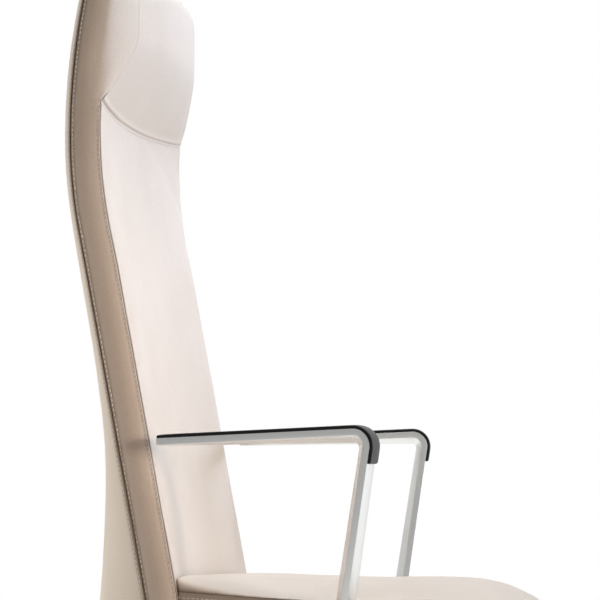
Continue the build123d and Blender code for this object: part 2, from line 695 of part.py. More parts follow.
neck_top = HOUSING_BOTTOM - FREE_GAP
knob_top = neck_top - KNOB_NECK
knob_bottom = knob_top - KNOB_HEIGHT
with BuildPart() as tension_knob:
    with BuildSketch(Plane((0, SPRING_Y, knob_bottom))):
        Circle(KNOB_DIA / 2)
        with PolarLocations(KNOB_DIA / 2 + KNOB_SCALLOP_DIA / 4, KNOB_LOBES):
            Circle(KNOB_SCALLOP_DIA / 2, mode=Mode.SUBTRACT)
    extrude(amount=KNOB_HEIGHT)
    fillet(tension_knob.edges().group_by(Axis.Z)[0], KNOB_EDGE)
    with BuildSketch(Plane((0, SPRING_Y, knob_top))):
        Circle(KNOB_NECK_DIA / 2)
    extrude(amount=KNOB_NECK)
    with BuildSketch(Plane((0, SPRING_Y, neck_top))):
        Circle(screw_radius + RUN_FIT)
    extrude(amount=-(KNOB_NECK + KNOB_HEIGHT / 2), mode=Mode.SUBTRACT)
finish(tension_knob, "tension_knob")

with BuildPart() as tension_screw:
    with BuildSketch(Plane((0, SPRING_Y, knob_top - KNOB_HEIGHT / 2 + FREE_GAP))):
        Circle(screw_radius)
    extrude(amount=HOUSING_BOTTOM + TENSION_SCREW_RISE - knob_top + KNOB_HEIGHT / 2)
finish(tension_screw, "tension_screw")

# Height lever: a see-saw on its pin, whose tip stands over the valve button
grip_z = lever_z - LEVER_DROP
lever_radius = LEVER_DIA / 2
with BuildPart() as height_lever:
    with BuildLine():
        FilletPolyline((LEVER_TIP, 0, lever_z), (LEVER_EXIT_X, 0, lever_z),
                       (LEVER_KNEE_X, LEVER_KNEE_Y, grip_z), (LEVER_END_X, LEVER_KNEE_Y, grip_z),
                       radius=LEVER_BEND)
    with BuildSketch(Plane((LEVER_TIP, 0, lever_z), x_dir=(0, 1, 0), z_dir=(-1, 0, 0))):
        Circle(lever_radius)
    sweep()
    with BuildSketch(Plane((LEVER_PIVOT_X, 0, lever_z), x_dir=(1, 0, 0), z_dir=(0, 1, 0))):
        Circle(lever_pin_radius)
    extrude(amount=post_offset + POST_THICKNESS, both=True)
finish(height_lever, "height_lever")

grip_mid_x = LEVER_END_X - GRIP_PAST_ROD + GRIP_LENGTH / 2
with BuildPart() as height_lever_grip:
    with BuildSketch(Plane((grip_mid_x, LEVER_KNEE_Y, grip_z - GRIP_THICKNESS / 2))):
        RectangleRounded(GRIP_LENGTH, GRIP_WIDTH, GRIP_WIDTH / 3)
    extrude(amount=GRIP_THICKNESS)
    fillet(height_lever_grip.faces().filter_by(Axis.Z).edges(), GRIP_THICKNESS / 4)
    with BuildSketch(Plane((LEVER_END_X, LEVER_KNEE_Y, grip_z), x_dir=(0, 1, 0), z_dir=(1, 0, 0))):
        Circle(lever_radius + RUN_FIT)
    extrude(amount=GRIP_LENGTH, mode=Mode.SUBTRACT)
finish(height_lever_grip, "height_lever_grip")

# Tilt lock lever: turns about its rod
lock_plane = Plane((0, LOCK_Y, lock_z), x_dir=(0, 1, 0), z_dir=(1, 0, 0))
with BuildPart() as tilt_lock_lever:
    with BuildSketch(lock_plane.offset(LOCK_INNER_X)):
        Circle(lever_radius)
    extrude(amount=LOCK_END_X - LOCK_INNER_X)
    with BuildSketch(lock_plane.offset(LOCK_INNER_X)):
        Circle(CAM_DIA / 2)
    extrude(amount=CAM_WIDTH)
finish(tilt_lock_lever, "tilt_lock_lever")

lock_grip_x = LOCK_END_X + GRIP_PAST_ROD - GRIP_LENGTH / 2
lock_grip_y = LOCK_Y - LOCK_GRIP_REACH / 2 + GRIP_THICKNESS / 2
with BuildPart() as tilt_lock_grip:
    with BuildSketch(Plane((lock_grip_x, lock_grip_y, lock_z - GRIP_THICKNESS / 2))):
        RectangleRounded(GRIP_LENGTH, LOCK_GRIP_REACH, GRIP_WIDTH / 3)
    extrude(amount=GRIP_THICKNESS)
    fillet(tilt_lock_grip.faces().filter_by(Axis.Z).edges(), GRIP_THICKNESS / 4)
    with BuildSketch(lock_plane.offset(LOCK_END_X)):
        Circle(lever_radius + RUN_FIT)
    extrude(amount=-GRIP_LENGTH, mode=Mode.SUBTRACT)
finish(tilt_lock_grip, "tilt_lock_grip")

# Arms: a wide outer face that tapers to a narrow keel inside the loop. The right arm is drawn on its
# middle plane, with local x forward along the arm and local y up, and the left one mirrors it.
toe = radians(ARM_TOE_OUT)
arm_slope = radians(ARM_SLOPE)
leg_slope = radians(ARM_LEG_SLOPE)
arm_forward = Vector(-sin(toe), -cos(toe), 0)
arm_outward = Vector(-cos(toe), sin(toe), 0)
arm_corner = Vector(-SEAT_HALF_WIDTH - ARM_BESIDE_SEAT, ARM_CORNER_Y, ARM_CORNER_Z)
foot_bottom = carrier_top - FOOT_THICKNESS
leg_length = (ARM_CORNER_Z - foot_bottom) / cos(leg_slope)
arm_tilt = atan((ARM_LEG_WIDTH - ARM_WIDTH) / 2 / leg_length)
arm_plane = Plane(arm_corner, x_dir=arm_forward, z_dir=arm_outward)
along_arm = Vector(-cos(arm_slope), -sin(arm_slope))
below_arm = Vector(sin(arm_slope), -cos(arm_slope))
down_leg = Vector(-sin(leg_slope), -cos(leg_slope))
behind_leg = Vector(-cos(leg_slope), sin(leg_slope))


def crossing(start, direction, other, other_direction):
    """Point where two lines of the arm's plane meet."""
    gap = other - start
    turn = direction.X * other_direction.Y - direction.Y * other_direction.X
    return start + direction * ((gap.X * other_direction.Y - gap.Y * other_direction.X) / turn)


def arm_outline(rear, front, leg, foot, inner_radius):
    """Side outline of the arm, given its depth at the rear end, at the corner, down the leg, at the foot."""
    rear_top = along_arm * ARM_LENGTH
    foot_front = down_leg * leg_length
    foot_rear = foot_front - Vector(foot / cos(leg_slope), 0)
    rear_low = rear_top + below_arm * rear
    under_start = below_arm * front
    leg_start = behind_leg * leg
    inner = crossing(under_start, rear_low - under_start, leg_start, foot_rear - leg_start)
    points = [rear_top, Vector(0, 0), foot_front, foot_rear, inner, rear_low]
    FilletPolyline(*points, radius=[0, ARM_CORNER_RADIUS, 0, 0, inner_radius, 0], close=True)


keel_depths = (ARM_FACE + ARM_KEEL_REAR, ARM_FACE + ARM_KEEL_FRONT, ARM_FACE + ARM_KEEL_LEG,
               ARM_FACE + ARM_KEEL_FOOT)
face_depths = (ARM_FACE, ARM_FACE, ARM_FACE, ARM_FACE)
leg_foot = down_leg * leg_length
foot_start = leg_foot.X + FOOT_FRONT_MARGIN - FOOT_LENGTH / 2
with BuildPart() as arm_right:
    with BuildSketch(arm_plane.offset(-ARM_KEEL_WIDTH / 2)):
        with BuildLine():
            arm_outline(*keel_depths, ARM_KEEL_RADIUS)
        make_face()
    extrude(amount=ARM_KEEL_WIDTH)
    for side in (-1, 1):
        with BuildSketch(arm_plane.offset(side * ARM_KEEL_WIDTH / 2)):
            with BuildLine():
                arm_outline(*keel_depths, ARM_KEEL_RADIUS)
            make_face()
        lean = arm_outward * cos(arm_tilt) + Vector(0, 0, side * sin(arm_tilt))
        side_plane = Plane(arm_corner + arm_outward * (side * ARM_WIDTH / 2), x_dir=arm_forward, z_dir=lean)
        with BuildSketch(side_plane):
            with BuildLine():
                arm_outline(*face_depths, ARM_INNER_RADIUS)
            make_face()
        loft(ruled=True)
    foot_plane = arm_plane.offset(ARM_WIDTH / 2)
    with BuildSketch(foot_plane):
        with Locations((foot_start, foot_bottom + FOOT_THICKNESS / 2 - ARM_CORNER_Z)):
            Rectangle(FOOT_LENGTH, FOOT_THICKNESS)
    extrude(amount=-(FOOT_REACH + ARM_WIDTH / 2))
    bolt_spots = [arm_corner + arm_forward * foot_start - arm_outward * reach for reach in ARM_BOLT_REACH]
    for spot in bolt_spots:
        with BuildSketch(Plane((spot.X, spot.Y, foot_bottom))):
            Circle(BOLT_DIA / 2 + RUN_FIT)
        extrude(amount=FOOT_THICKNESS, mode=Mode.SUBTRACT)
finish(arm_right, "arm_right")

with BuildPart() as arm_left:
    add(mirror(arm_right.part, about=Plane.YZ, mode=Mode.PRIVATE))
finish(arm_left, "arm_left")

with BuildPart() as arm_pad_right:
    with BuildSketch(arm_plane.offset(-ARM_WIDTH / 2)):
        with BuildLine():
            lift = below_arm * -PAD_GAP
            push = behind_leg * -PAD_GAP
            thick = below_arm * -(PAD_GAP + PAD_THICKNESS)
            front = behind_leg * -(PAD_GAP + PAD_THICKNESS)
            outer_corner = crossing(thick, along_arm, front, down_leg)
            inner_corner = crossing(lift, along_arm, push, down_leg)
            rear_end = along_arm * ARM_LENGTH
            drop_end = down_leg * PAD_DROP
            pad_points = [rear_end + thick, outer_corner, drop_end + front, drop_end + push, inner_corner,
                          rear_end + lift]
            outer_radius = ARM_CORNER_RADIUS + PAD_GAP + PAD_THICKNESS
            FilletPolyline(*pad_points, radius=[0, outer_radius, 0, 0, ARM_CORNER_RADIUS + PAD_GAP, 0],
                           close=True)
        make_face()
    extrude(amount=ARM_WIDTH)
    pad_rear_z = ARM_CORNER_Z - ARM_LENGTH * sin(arm_slope)
    pad_rims = [edge for edge in arm_pad_right.edges()
                if edge.center().Z > pad_rear_z and edge.length > ARM_LENGTH / 2]
    fillet(ShapeList(pad_rims).sort_by(Axis.Z)[-2:], PAD_EDGE)
finish(arm_pad_right, "arm_pad_right")

with BuildPart() as arm_pad_left:
    add(mirror(arm_pad_right.part, about=Plane.YZ, mode=Mode.PRIVATE))
finish(arm_pad_left, "arm_pad_left")

all_arm_bolts = bolt_spots + [Vector(-spot.X, spot.Y, spot.Z) for spot in bolt_spots]
with BuildPart() as arm_bolts:
    for spot in all_arm_bolts:
        with BuildSketch(Plane((spot.X, spot.Y, foot_bottom))):
            Circle(BOLT_HEAD_DIA / 2)
        extrude(amount=-BOLT_HEAD)
        with BuildSketch(Plane((spot.X, spot.Y, foot_bottom))):
            Circle(BOLT_DIA / 2)
        extrude(amount=FOOT_THICKNESS + BOLT_IN_PAN)
finish(arm_bolts, "arm_bolts")

# Seat carrier, pan and bolts
seat_bolt_spots = [(side * seat_bolt_x, y) for side in (-1, 1)
                   for y in (SEAT_BOLT_FRONT_Y, SEAT_BOLT_REAR_Y)]
with BuildPart() as seat_carrier:
    with BuildSketch(Plane((0, (CARRIER_FRONT + CARRIER_REAR) / 2, carrier_bottom))):
        RectangleRounded(carrier_width, CARRIER_REAR - CARRIER_FRONT, CARRIER_CORNER)
    extrude(amount=CARRIER_THICKNESS)
    for side in (-1, 1):
        with BuildSketch(Plane.YZ.offset(side * FRONT_EAR_X - EAR_THICKNESS / 2)):
            with Locations((FRONT_AXLE_Y, front_axle_z)):
                Circle(FRONT_EAR_RADIUS)
            with Locations((FRONT_AXLE_Y, (front_axle_z + carrier_bottom) / 2)):
                Rectangle(2 * FRONT_EAR_RADIUS, carrier_bottom - front_axle_z)
            with Locations((FRONT_AXLE_Y, front_axle_z)):
                Circle(AXLE_DIA / 2 + RUN_FIT, mode=Mode.SUBTRACT)
        extrude(amount=EAR_THICKNESS)
        rear_ear_bottom = rear_axle_z - REAR_EAR_BELOW
        with BuildSketch(Plane.YZ.offset(side * REAR_EAR_X - EAR_THICKNESS / 2)):
            with Locations((sync_y, (rear_ear_bottom + carrier_bottom) / 2)):
                Rectangle(REAR_EAR_LENGTH, carrier_bottom - rear_ear_bottom)
            with Locations((sync_y - SYNC_SLOT_TRAVEL / 4, rear_axle_z)):
                SlotCenterToCenter(SYNC_SLOT_TRAVEL, SYNC_PIN_DIA + 2 * SYNC_SLOT_PLAY, mode=Mode.SUBTRACT)
        extrude(amount=EAR_THICKNESS)
    for x, y in seat_bolt_spots:
        with BuildSketch(Plane((x, y, carrier_bottom))):
            Circle(BOLT_DIA / 2 + RUN_FIT)
        extrude(amount=CARRIER_THICKNESS, mode=Mode.SUBTRACT)
finish(seat_carrier, "seat_carrier")

pan_bolt_spots = seat_bolt_spots + [(spot.X, spot.Y) for spot in all_arm_bolts]
with BuildPart() as seat_pan:
    with BuildSketch(Plane((0, (PAN_FRONT + PAN_REAR) / 2, carrier_top))):
        RectangleRounded(pan_width, PAN_REAR - PAN_FRONT, PAN_CORNER)
    extrude(amount=PAN_THICKNESS)
    for x, y in pan_bolt_spots:
        with BuildSketch(Plane((x, y, carrier_top))):
            Circle(BOLT_DIA / 2 + RUN_FIT)
        extrude(amount=BOLT_IN_PAN + FREE_GAP, mode=Mode.SUBTRACT)
finish(seat_pan, "seat_pan")

with BuildPart() as seat_bolts:
    for x, y in seat_bolt_spots:
        with BuildSketch(Plane((x, y, carrier_bottom))):
            Circle(BOLT_HEAD_DIA / 2)
        extrude(amount=-BOLT_HEAD)
        with BuildSketch(Plane((x, y, carrier_bottom))):
            Circle(BOLT_DIA / 2)
        extrude(amount=CARRIER_THICKNESS + BOLT_IN_PAN)
finish(seat_bolts, "seat_bolts")

# Seat cushion: cross sections from the front edge to the back, the last ones leaning with the back
fall_length = SEAT_FALL_START - SEAT_FRONT
seat_levels = [SEAT_FRONT + fall_length * share for share in (0, 0.06, 0.2, 0.4, 0.65, 1)]
seat_levels += [SEAT_FALL_START / 2, 0, seat_rear / 3, seat_rear * 2 / 3]
seat_levels += [seat_rear - SEAT_REAR_ROUND * share for share in (1, 0.4, 0)]
with BuildPart() as seat_cushion:
    for y in seat_levels:
        lean = radians(BACK_ANGLE) * max(y / seat_rear, 0) ** 2
        section = Plane((0, y, seat_mid_z), x_dir=(1, 0, 0), z_dir=(0, -cos(lean), sin(lean)))
        half = seat_half_width(y)
        low = seat_bottom - seat_mid_z
        crown = seat_crown_z(y) - seat_mid_z
        edge = crown - min(SEAT_CROWN, (crown - low) / 3)
        belly = low + 0.55 * (edge - low)
        height_share = (crown - low) / SEAT_THICKNESS
        bottom_half = half - SEAT_DRAW_IN * height_share
        top_half = half - SEAT_TOP_INSET * height_share
        with BuildSketch(section):
            with BuildLine():
                Line((-bottom_half, low), (bottom_half, low))
                ThreePointArc((bottom_half, low), (half, belly), (top_half, edge))
                ThreePointArc((top_half, edge), (0, crown), (-top_half, edge))
                ThreePointArc((-top_half, edge), (-half, belly), (-bottom_half, low))
            make_face()
    loft()
finish(seat_cushion, "seat_cushion")

# Back cushion: hollowed front panel and the side band, up to the headrest's seam
lower_back = BACK_STRAIGHT_TOP - BACK_BOTTOM
straight_levels = [BACK_BOTTOM + lower_back * share for share in (0.15, 0.27, 0.38, 0.5, 0.62, 0.81, 1)]
lower_levels = [BACK_BOTTOM + BACK_BOTTOM_ROUND * share for share in (0, 0.3, 1)] + straight_levels
bend_levels = [BACK_STRAIGHT_TOP + (head_seam - BACK_STRAIGHT_TOP) * share for share in (0.33, 0.69)]
back_levels = lower_levels + bend_levels + [head_seam - SOFT_GAP]
with BuildPart() as back_cushion:
    for z in back_levels:
        half = back_half_width(z)
        rear = back_seam_y(z) - SOFT_GAP / 2
        front = back_front_y(z)
        with BuildSketch(Plane.XY.offset(z)):
            with BuildLine():
                ThreePointArc((-half, front), (0, front + BACK_HOLLOW), (half, front))
                Line((half, front), (half + BACK_REAR_FLARE, rear))
                Line((half + BACK_REAR_FLARE, rear), (-half - BACK_REAR_FLARE, rear))
                Line((-half - BACK_REAR_FLARE, rear), (-half, front))
            make_face()
    loft()
finish(back_cushion, "back_cushion")

# Headrest: the side band folds into sloping cheeks that carry a narrower crowned pad
head_levels = [head_seam + HEAD_RISE * share for share in (0, 0.22, 0.44, 0.67, 0.93, 1.38)]
head_levels += [head_round_start, (head_round_start + head_top) / 2, head_top]
with BuildPart() as headrest_cushion:
    for z in head_levels:
        blend = head_blend(z)
        side = back_half_width(z)
        narrow = BACK_HALF_WIDTH - side
        half = HEAD_HALF_WIDTH + (BACK_HALF_WIDTH - HEAD_HALF_WIDTH - HEAD_SEAM_STEP) * blend - narrow
        rear = back_seam_y(z) - SOFT_GAP / 2
        front = head_front_y(z)
        fold = max(rear - HEAD_BAND, (rear + front) / 2)
        belly = front + BACK_HOLLOW * blend - HEAD_CROWN * (1 - blend)
        with BuildSketch(Plane.XY.offset(z)):
            with BuildLine():
                ThreePointArc((-half, front), (0, belly), (half, front))
                Line((half, front), (side, fold))
                Line((side, fold), (side + BACK_REAR_FLARE, rear))
                Line((side + BACK_REAR_FLARE, rear), (-side - BACK_REAR_FLARE, rear))
                Line((-side - BACK_REAR_FLARE, rear), (-side, fold))
                Line((-side, fold), (-half, front))
            make_face()
    loft()
finish(headrest_cushion, "headrest_cushion")

# Rear shell: swells towards the seat, hollow round the bracket and board
shell_levels = lower_levels + bend_levels + [(head_seam + shoulder_start) / 2]
shell_levels += [shoulder_start, (shoulder_start + SHELL_TOP) / 2, SHELL_TOP]
cavity_levels = [BACK_BOTTOM + SHELL_WALL] + straight_levels


def shell_section(z, inset):
    """Plan section of the shell: straight along the seam, arched behind, drawn in by the inset."""
    half = back_half_width(z) + BACK_REAR_FLARE - inset
    seam = back_seam_y(z) + SOFT_GAP / 2
    start = seam - inset
    ThreePointArc((half, seam), (0, seam + shell_bulge(z) - inset), (-half, seam))
    Polyline((-half, seam), (-half, start - SOFT_GAP), (half, start - SOFT_GAP), (half, seam))


with BuildPart() as back_shell:
    for z in shell_levels:
        with BuildSketch(Plane.XY.offset(z)):
            with BuildLine():
                half = back_half_width(z) + BACK_REAR_FLARE
                seam = back_seam_y(z) + SOFT_GAP / 2
                ThreePointArc((half, seam), (0, seam + shell_bulge(z)), (-half, seam))
                Line((-half, seam), (half, seam))
            make_face()
    loft()
    for z in cavity_levels:
        with BuildSketch(Plane.XY.offset(z)):
            with BuildLine():
                shell_section(z, SHELL_WALL)
            make_face()
    loft(mode=Mode.SUBTRACT)
    with BuildSketch(Plane((0, back_seam_y(BACK_BOTTOM), BACK_BOTTOM))):
        Rectangle(BRACKET_WIDTH + 2 * BRACKET_SLOT_SIDE, 4 * (BOARD_THICKNESS + BRACKET_THICKNESS))
    extrude(amount=SHELL_WALL, mode=Mode.SUBTRACT)
finish(back_shell, "back_shell")

# Back board, bracket, pin and bolts. Local x runs across, local y up the back's lean.
lean = radians(BACK_ANGLE)
lean_up = Vector(0, sin(lean), cos(lean))
lean_back = Vector(0, cos(lean), -sin(lean))
seam_foot = Vector(0, back_seam_y(BACK_BOTTOM), BACK_BOTTOM)
board_front = SOFT_GAP
board_rear = board_front + BOARD_THICKNESS
bracket_mid = board_rear + FREE_GAP + BRACKET_THICKNESS / 2


def lean_plane(level, depth):
    """Plane facing backwards along the back's lean, at a height and a depth behind the seam."""
    origin = seam_foot + lean_up * ((level - BACK_BOTTOM) / cos(lean)) + lean_back * depth
    return Plane(origin, x_dir=(-1, 0, 0), z_dir=lean_back)


with BuildPart() as back_board:
    board_length = (BOARD_TOP - BOARD_BOTTOM) / cos(lean)
    with BuildSketch(lean_plane((BOARD_TOP + BOARD_BOTTOM) / 2, board_front)):
        RectangleRounded(2 * BOARD_HALF_WIDTH, board_length, BOARD_HALF_WIDTH / 4)
    extrude(amount=BOARD_THICKNESS)
    for level in BACK_BOLT_LEVELS:
        with BuildSketch(lean_plane(level, board_rear)):
            with Locations((-BACK_BOLT_X, 0), (BACK_BOLT_X, 0)):
                Circle(BOLT_DIA / 2 + RUN_FIT)
        extrude(amount=-BOLT_IN_BOARD - FREE_GAP, mode=Mode.SUBTRACT)
finish(back_board, "back_board")

bracket_line = lean_plane(BRACKET_TOP, bracket_mid).origin
bracket_corner_y = bracket_line.Y - (bracket_line.Z - rear_axle_z) * back_slope
with BuildPart() as back_bracket:
    with BuildSketch(Plane.YZ):
        with BuildLine():
            FilletPolyline((REAR_AXLE_Y, rear_axle_z), (bracket_corner_y, rear_axle_z),
                           (bracket_line.Y, bracket_line.Z), radius=BRACKET_BEND)
        trace(line_width=BRACKET_THICKNESS)
        with Locations((REAR_AXLE_Y, rear_axle_z)):
            Circle(BRACKET_BOSS_DIA / 2)
            Circle(AXLE_DIA / 2 + RUN_FIT, mode=Mode.SUBTRACT)
        with Locations((sync_y, rear_axle_z)):
            Circle(SYNC_PIN_DIA / 2 + RUN_FIT, mode=Mode.SUBTRACT)
    extrude(amount=BRACKET_WIDTH / 2, both=True)
    for level in BACK_BOLT_LEVELS:
        with BuildSketch(lean_plane(level, bracket_mid)):
            with Locations((-BACK_BOLT_X, 0), (BACK_BOLT_X, 0)):
                Circle(BOLT_DIA / 2 + RUN_FIT)
        extrude(amount=BRACKET_THICKNESS, both=True, mode=Mode.SUBTRACT)
finish(back_bracket, "back_bracket")

with BuildPart() as sync_pin:
    with BuildSketch(Plane((0, sync_y, rear_axle_z), x_dir=(0, 1, 0), z_dir=(1, 0, 0))):
        Circle(SYNC_PIN_DIA / 2)
    extrude(amount=REAR_EAR_X + EAR_THICKNESS / 2 + SYNC_PIN_SIDE, both=True)
finish(sync_pin, "sync_pin")

with BuildPart() as back_bolts:
    for level in BACK_BOLT_LEVELS:
        head_plane = lean_plane(level, bracket_mid + BRACKET_THICKNESS / 2)
        with BuildSketch(head_plane):
            with Locations((-BACK_BOLT_X, 0), (BACK_BOLT_X, 0)):
                Circle(BOLT_HEAD_DIA / 2)
        extrude(amount=BOLT_HEAD)
        with BuildSketch(head_plane):
            with Locations((-BACK_BOLT_X, 0), (BACK_BOLT_X, 0)):
                Circle(BOLT_DIA / 2)
        extrude(amount=-(BRACKET_THICKNESS + FREE_GAP + BOLT_IN_BOARD))
finish(back_bolts, "back_bolts")
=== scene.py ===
import json
import math

import bmesh
import bpy
import numpy as np
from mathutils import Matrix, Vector, noise
from mathutils.bvhtree import BVHTree


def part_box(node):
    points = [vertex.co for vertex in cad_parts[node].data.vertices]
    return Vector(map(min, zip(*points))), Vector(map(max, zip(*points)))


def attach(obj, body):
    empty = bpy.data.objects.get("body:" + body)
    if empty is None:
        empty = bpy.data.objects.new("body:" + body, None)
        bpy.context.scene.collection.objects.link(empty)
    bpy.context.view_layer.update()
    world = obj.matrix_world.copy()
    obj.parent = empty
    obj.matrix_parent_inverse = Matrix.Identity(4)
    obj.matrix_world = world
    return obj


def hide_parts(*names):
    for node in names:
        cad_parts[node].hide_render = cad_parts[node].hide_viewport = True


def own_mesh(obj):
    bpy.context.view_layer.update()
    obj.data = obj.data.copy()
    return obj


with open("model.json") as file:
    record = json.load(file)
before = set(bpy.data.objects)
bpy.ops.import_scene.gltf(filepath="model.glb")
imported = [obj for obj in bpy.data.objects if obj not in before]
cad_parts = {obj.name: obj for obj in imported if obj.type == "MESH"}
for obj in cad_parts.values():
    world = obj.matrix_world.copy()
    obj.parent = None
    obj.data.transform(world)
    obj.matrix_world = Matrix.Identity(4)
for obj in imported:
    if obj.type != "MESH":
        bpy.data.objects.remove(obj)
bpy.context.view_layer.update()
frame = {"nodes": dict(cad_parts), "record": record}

bl_info = {
    "name": "Swivel office chair",
    "version": (1, 0, 0),
    "blender": (4, 5, 0),
    "location": "3D View > Sidebar > Chair",
    "description": "Dresses the chair's frame in leather, stitching, metal and plastic",
    "category": "Object",
}

MM = 0.001
# A length too short to divide by, and a distance farther than any seam reaches
TINY, FAR = 1e-9, 999.0

# Forms of the seat, in millimetres, following the part's solids
SEAT_TOP, SEAT_BOTTOM, SEAT_THICKNESS = 470.0, 404.5, 66.0
SEAT_HALF_WIDTH, SEAT_REAR_HALF_WIDTH = 247.0, 230.0
SEAT_FRONT, SEAT_REAR, SEAT_REAR_ROUND = -232.0, 221.5, 4.0
SEAT_FRONT_POWER, SEAT_CROWN, SEAT_TOP_INSET = 4.5, 9.0, 5.0
SEAT_FALL_START, SEAT_FALL_POWER, SEAT_NOSE = -104.0, 1.75, 10.7
SEAT_SET, SEAT_SET_LENGTH, SEAT_SAG, SEAT_SAG_Y, SEAT_SAG_LENGTH = 2.8, 135.0, 2.8, 25.0, 60.0
SEAT_ROUND_REACH, SEAT_PLAN_FRONT, SEAT_CROWN_PARTS = 1.05, SEAT_FRONT - 2, 3

# What the seat's leather adds: a corner pushed up against the back, and the side band's belly below the seam
PUFF_HEIGHT, PUFF_LENGTH, PUFF_WIDTH, PUFF_ROLL, PUFF_SEAM = 19.0, 60.0, 170.0, 6.5, 2.8
SEAT_OVERHANG, OVERHANG_TURN, BELLY_OUT, BELLY_IN = 4.5, 0.05, 10.0, 17.0
# Room for the swelling foam
SEAT_FOAM_ROOM = 2.0

# Rows and columns of the seat's cover, in millimetres and as shares, and the band that is stitched
SEAT_NOSE_START, SEAT_NOSE_ROWS = -180.0, 18
SEAT_STEP, SEAT_LAST_STEP, SEAT_TURN_ROWS = 9.0, 8.0, 5
SEAT_FLAT_SHARE, SEAT_COLUMNS, SEAT_EDGE_SHARES = 0.9, 22, (0.93, 0.955, 0.975, 0.988, 0.995, 1.0)
SEAT_BANDS = (0.025, 0.06, 0.12) + tuple(np.linspace(0.2, 0.9, 8)) + (0.96, 1.0)
SEAT_STITCHED_BAND = 2

# Forms of the back, its shell and its headrest, in millimetres, following the part's solids
BACK_SEAM_Y, BACK_ANGLE, BACK_BOTTOM = 266.0, math.radians(10.7), 404.0
BACK_STRAIGHT_TOP, BACK_LOWER_RADIUS, BACK_UPPER_RADIUS = 915.0, 600.0, 1050.0
BACK_HALF_WIDTH, BACK_BAND, BACK_HOLLOW = 226.0, 38.0, 15.0
BACK_TAPER, BACK_TAPER_START, BACK_TAPER_LENGTH = 5.0, 870.0, 180.0
BACK_REAR_FLARE, BACK_BOTTOM_ROUND, BACK_ROUND_REACH = 4.0, 26.0, 1.1
SHELL_BULGE, SHELL_FLARE, SHELL_FLARE_TOP, SHELL_FLARE_BLEND = 48.0, 0.29, 665.0, 60.0
SHELL_TOP, SHELL_ROUND_START, SHELL_UPPER_SWELL = 1283.0, 1238.0, 4.0
SHOULDER_START, SHOULDER_HEIGHT, SHOULDER_DRAW = 1215.0, 72.0, 34.0
HEAD_SEAM, HEAD_RISE, HEAD_RISE_POWER, HEAD_HALF_WIDTH = 1081.0, 90.0, 1.38, 164.0
HEAD_FRONT_Y, HEAD_LEAD, HEAD_CROWN = 292.0, 33.0, 9.0
HEAD_BAND, HEAD_BAND_TAPER = 29.5, 6.5
HEAD_ROUND_START, HEAD_TOP = 1243.0, 1282.0

# What the back's leather adds: the rear seam's line, a sag under the headrest, swollen bands and a soft fold
REAR_SEAM_BEHIND, REAR_SEAM_MORE, REAR_SEAM_MORE_Z, REAR_SEAM_MORE_HEIGHT = 2.5, 2.6, 1120.0, 170.0
HEAD_SAG, HEAD_SAG_HEIGHT, HEAD_TUCK = 8.0, 70.0, 2.4
SEAM_HALF_GAP = 0.25
PANEL_STAND, PANEL_ROLL = 0.8, 8.0
BAND_SWELL, CHEEK_SWELL, HEAD_BAND_SWELL, HEAD_SWELL_RISE = 5.2, 3.0, 1.4, 40.0
FOLD_RADIUS, FOLD_SOFTER, FOLD_LENGTH = 7.0, 14.0, 170.0
FOLD_DEPTH_SHARE, FOLD_FLARE_SHARE, FOLD_RUN_SHARE = 0.68, 0.4, 0.45
SEAM_VALLEY, VALLEY_DEEPER, VALLEY_WIDTH, VALLEY_WIDER = 1.9, 1.2, 3.4, 5.5
VALLEY_TOP, VALLEY_RISE = 720.0, 200.0

# What the shell's leather adds to the solid: a fuller rim, and a trimmed bulge towards the top
SHELL_INSET, SHELL_RIM_IN, SHELL_RIM_WIDTH = 0.6, 0.9, 1.2
SHELL_RIM_POWER, SHELL_DEEP_POWER, SHELL_DEEP, SHELL_DEEP_RANGE = 0.7, 0.2, 52.0, 50.0
SHELL_MORE, SHELL_LESS, SHELL_LESS_FROM = 1.4, 163.0, 40.0
SHELL_WAIST, SHELL_WAIST_Z, SHELL_WAIST_HEIGHT = 1.5, 500.0, 300.0
SHELL_TRIM, SHELL_TRIM_Z, SHELL_TRIM_HEIGHT, SHELL_LEAST = 3.4, 700.0, 250.0, 1e-3
SHELL_EDGE = np.array([0.0, 0.8, 1.8, 3.0, 4.5, 6.5, 10.0])
SHELL_FLAT_EDGE, SHELL_COLUMNS, SHELL_STITCHED = 16.0, 48, 3

# Sewing, in millimetres: how the leather is drawn in and stands up, and the painted shade beside its seams
HELD_GAP, HELD_HEIGHT, HELD_ROWS = 2.0, 6.0, 4
BACK_SWELL, SEAT_SWELL = 5.0, 6.0
GROOVE_WIDTH, SEAM_END = 1.0, 6.0
OPENING, OPENING_Z, OPENING_HEIGHT = 1.2, 3.0, 6.0
LIP, LIP_GAP, LIP_WIDTH = 1.0, 2.8, 1.5
NEEDLE_GAP, NEEDLE_DENT, NEEDLE_WIDTH = 5.2, 0.5, 1.0
RIDGE, RIDGE_GAP, RIDGE_WIDTH = 0.5, 0.6, 1.5
PIPING, PIPING_Z, PIPING_WIDTH, PIPING_END = 1.7, 2.2, 1.9, 3.0
PIPING_DENT, PIPING_FOOT, PIPING_LINE, PIPING_DENT_WIDTH = 0.5, -0.5, -4.2, 0.6
# Painted shade in the front seam, along its needle line and in the piping's dents
SEAM_SHADE_GAP, SEAM_SHADE_WIDTH = 0.4, 1.6
NEEDLE_SHADE, NEEDLE_SHADE_WIDTH, PIPING_SHADE = 0.15, 0.9, 0.2
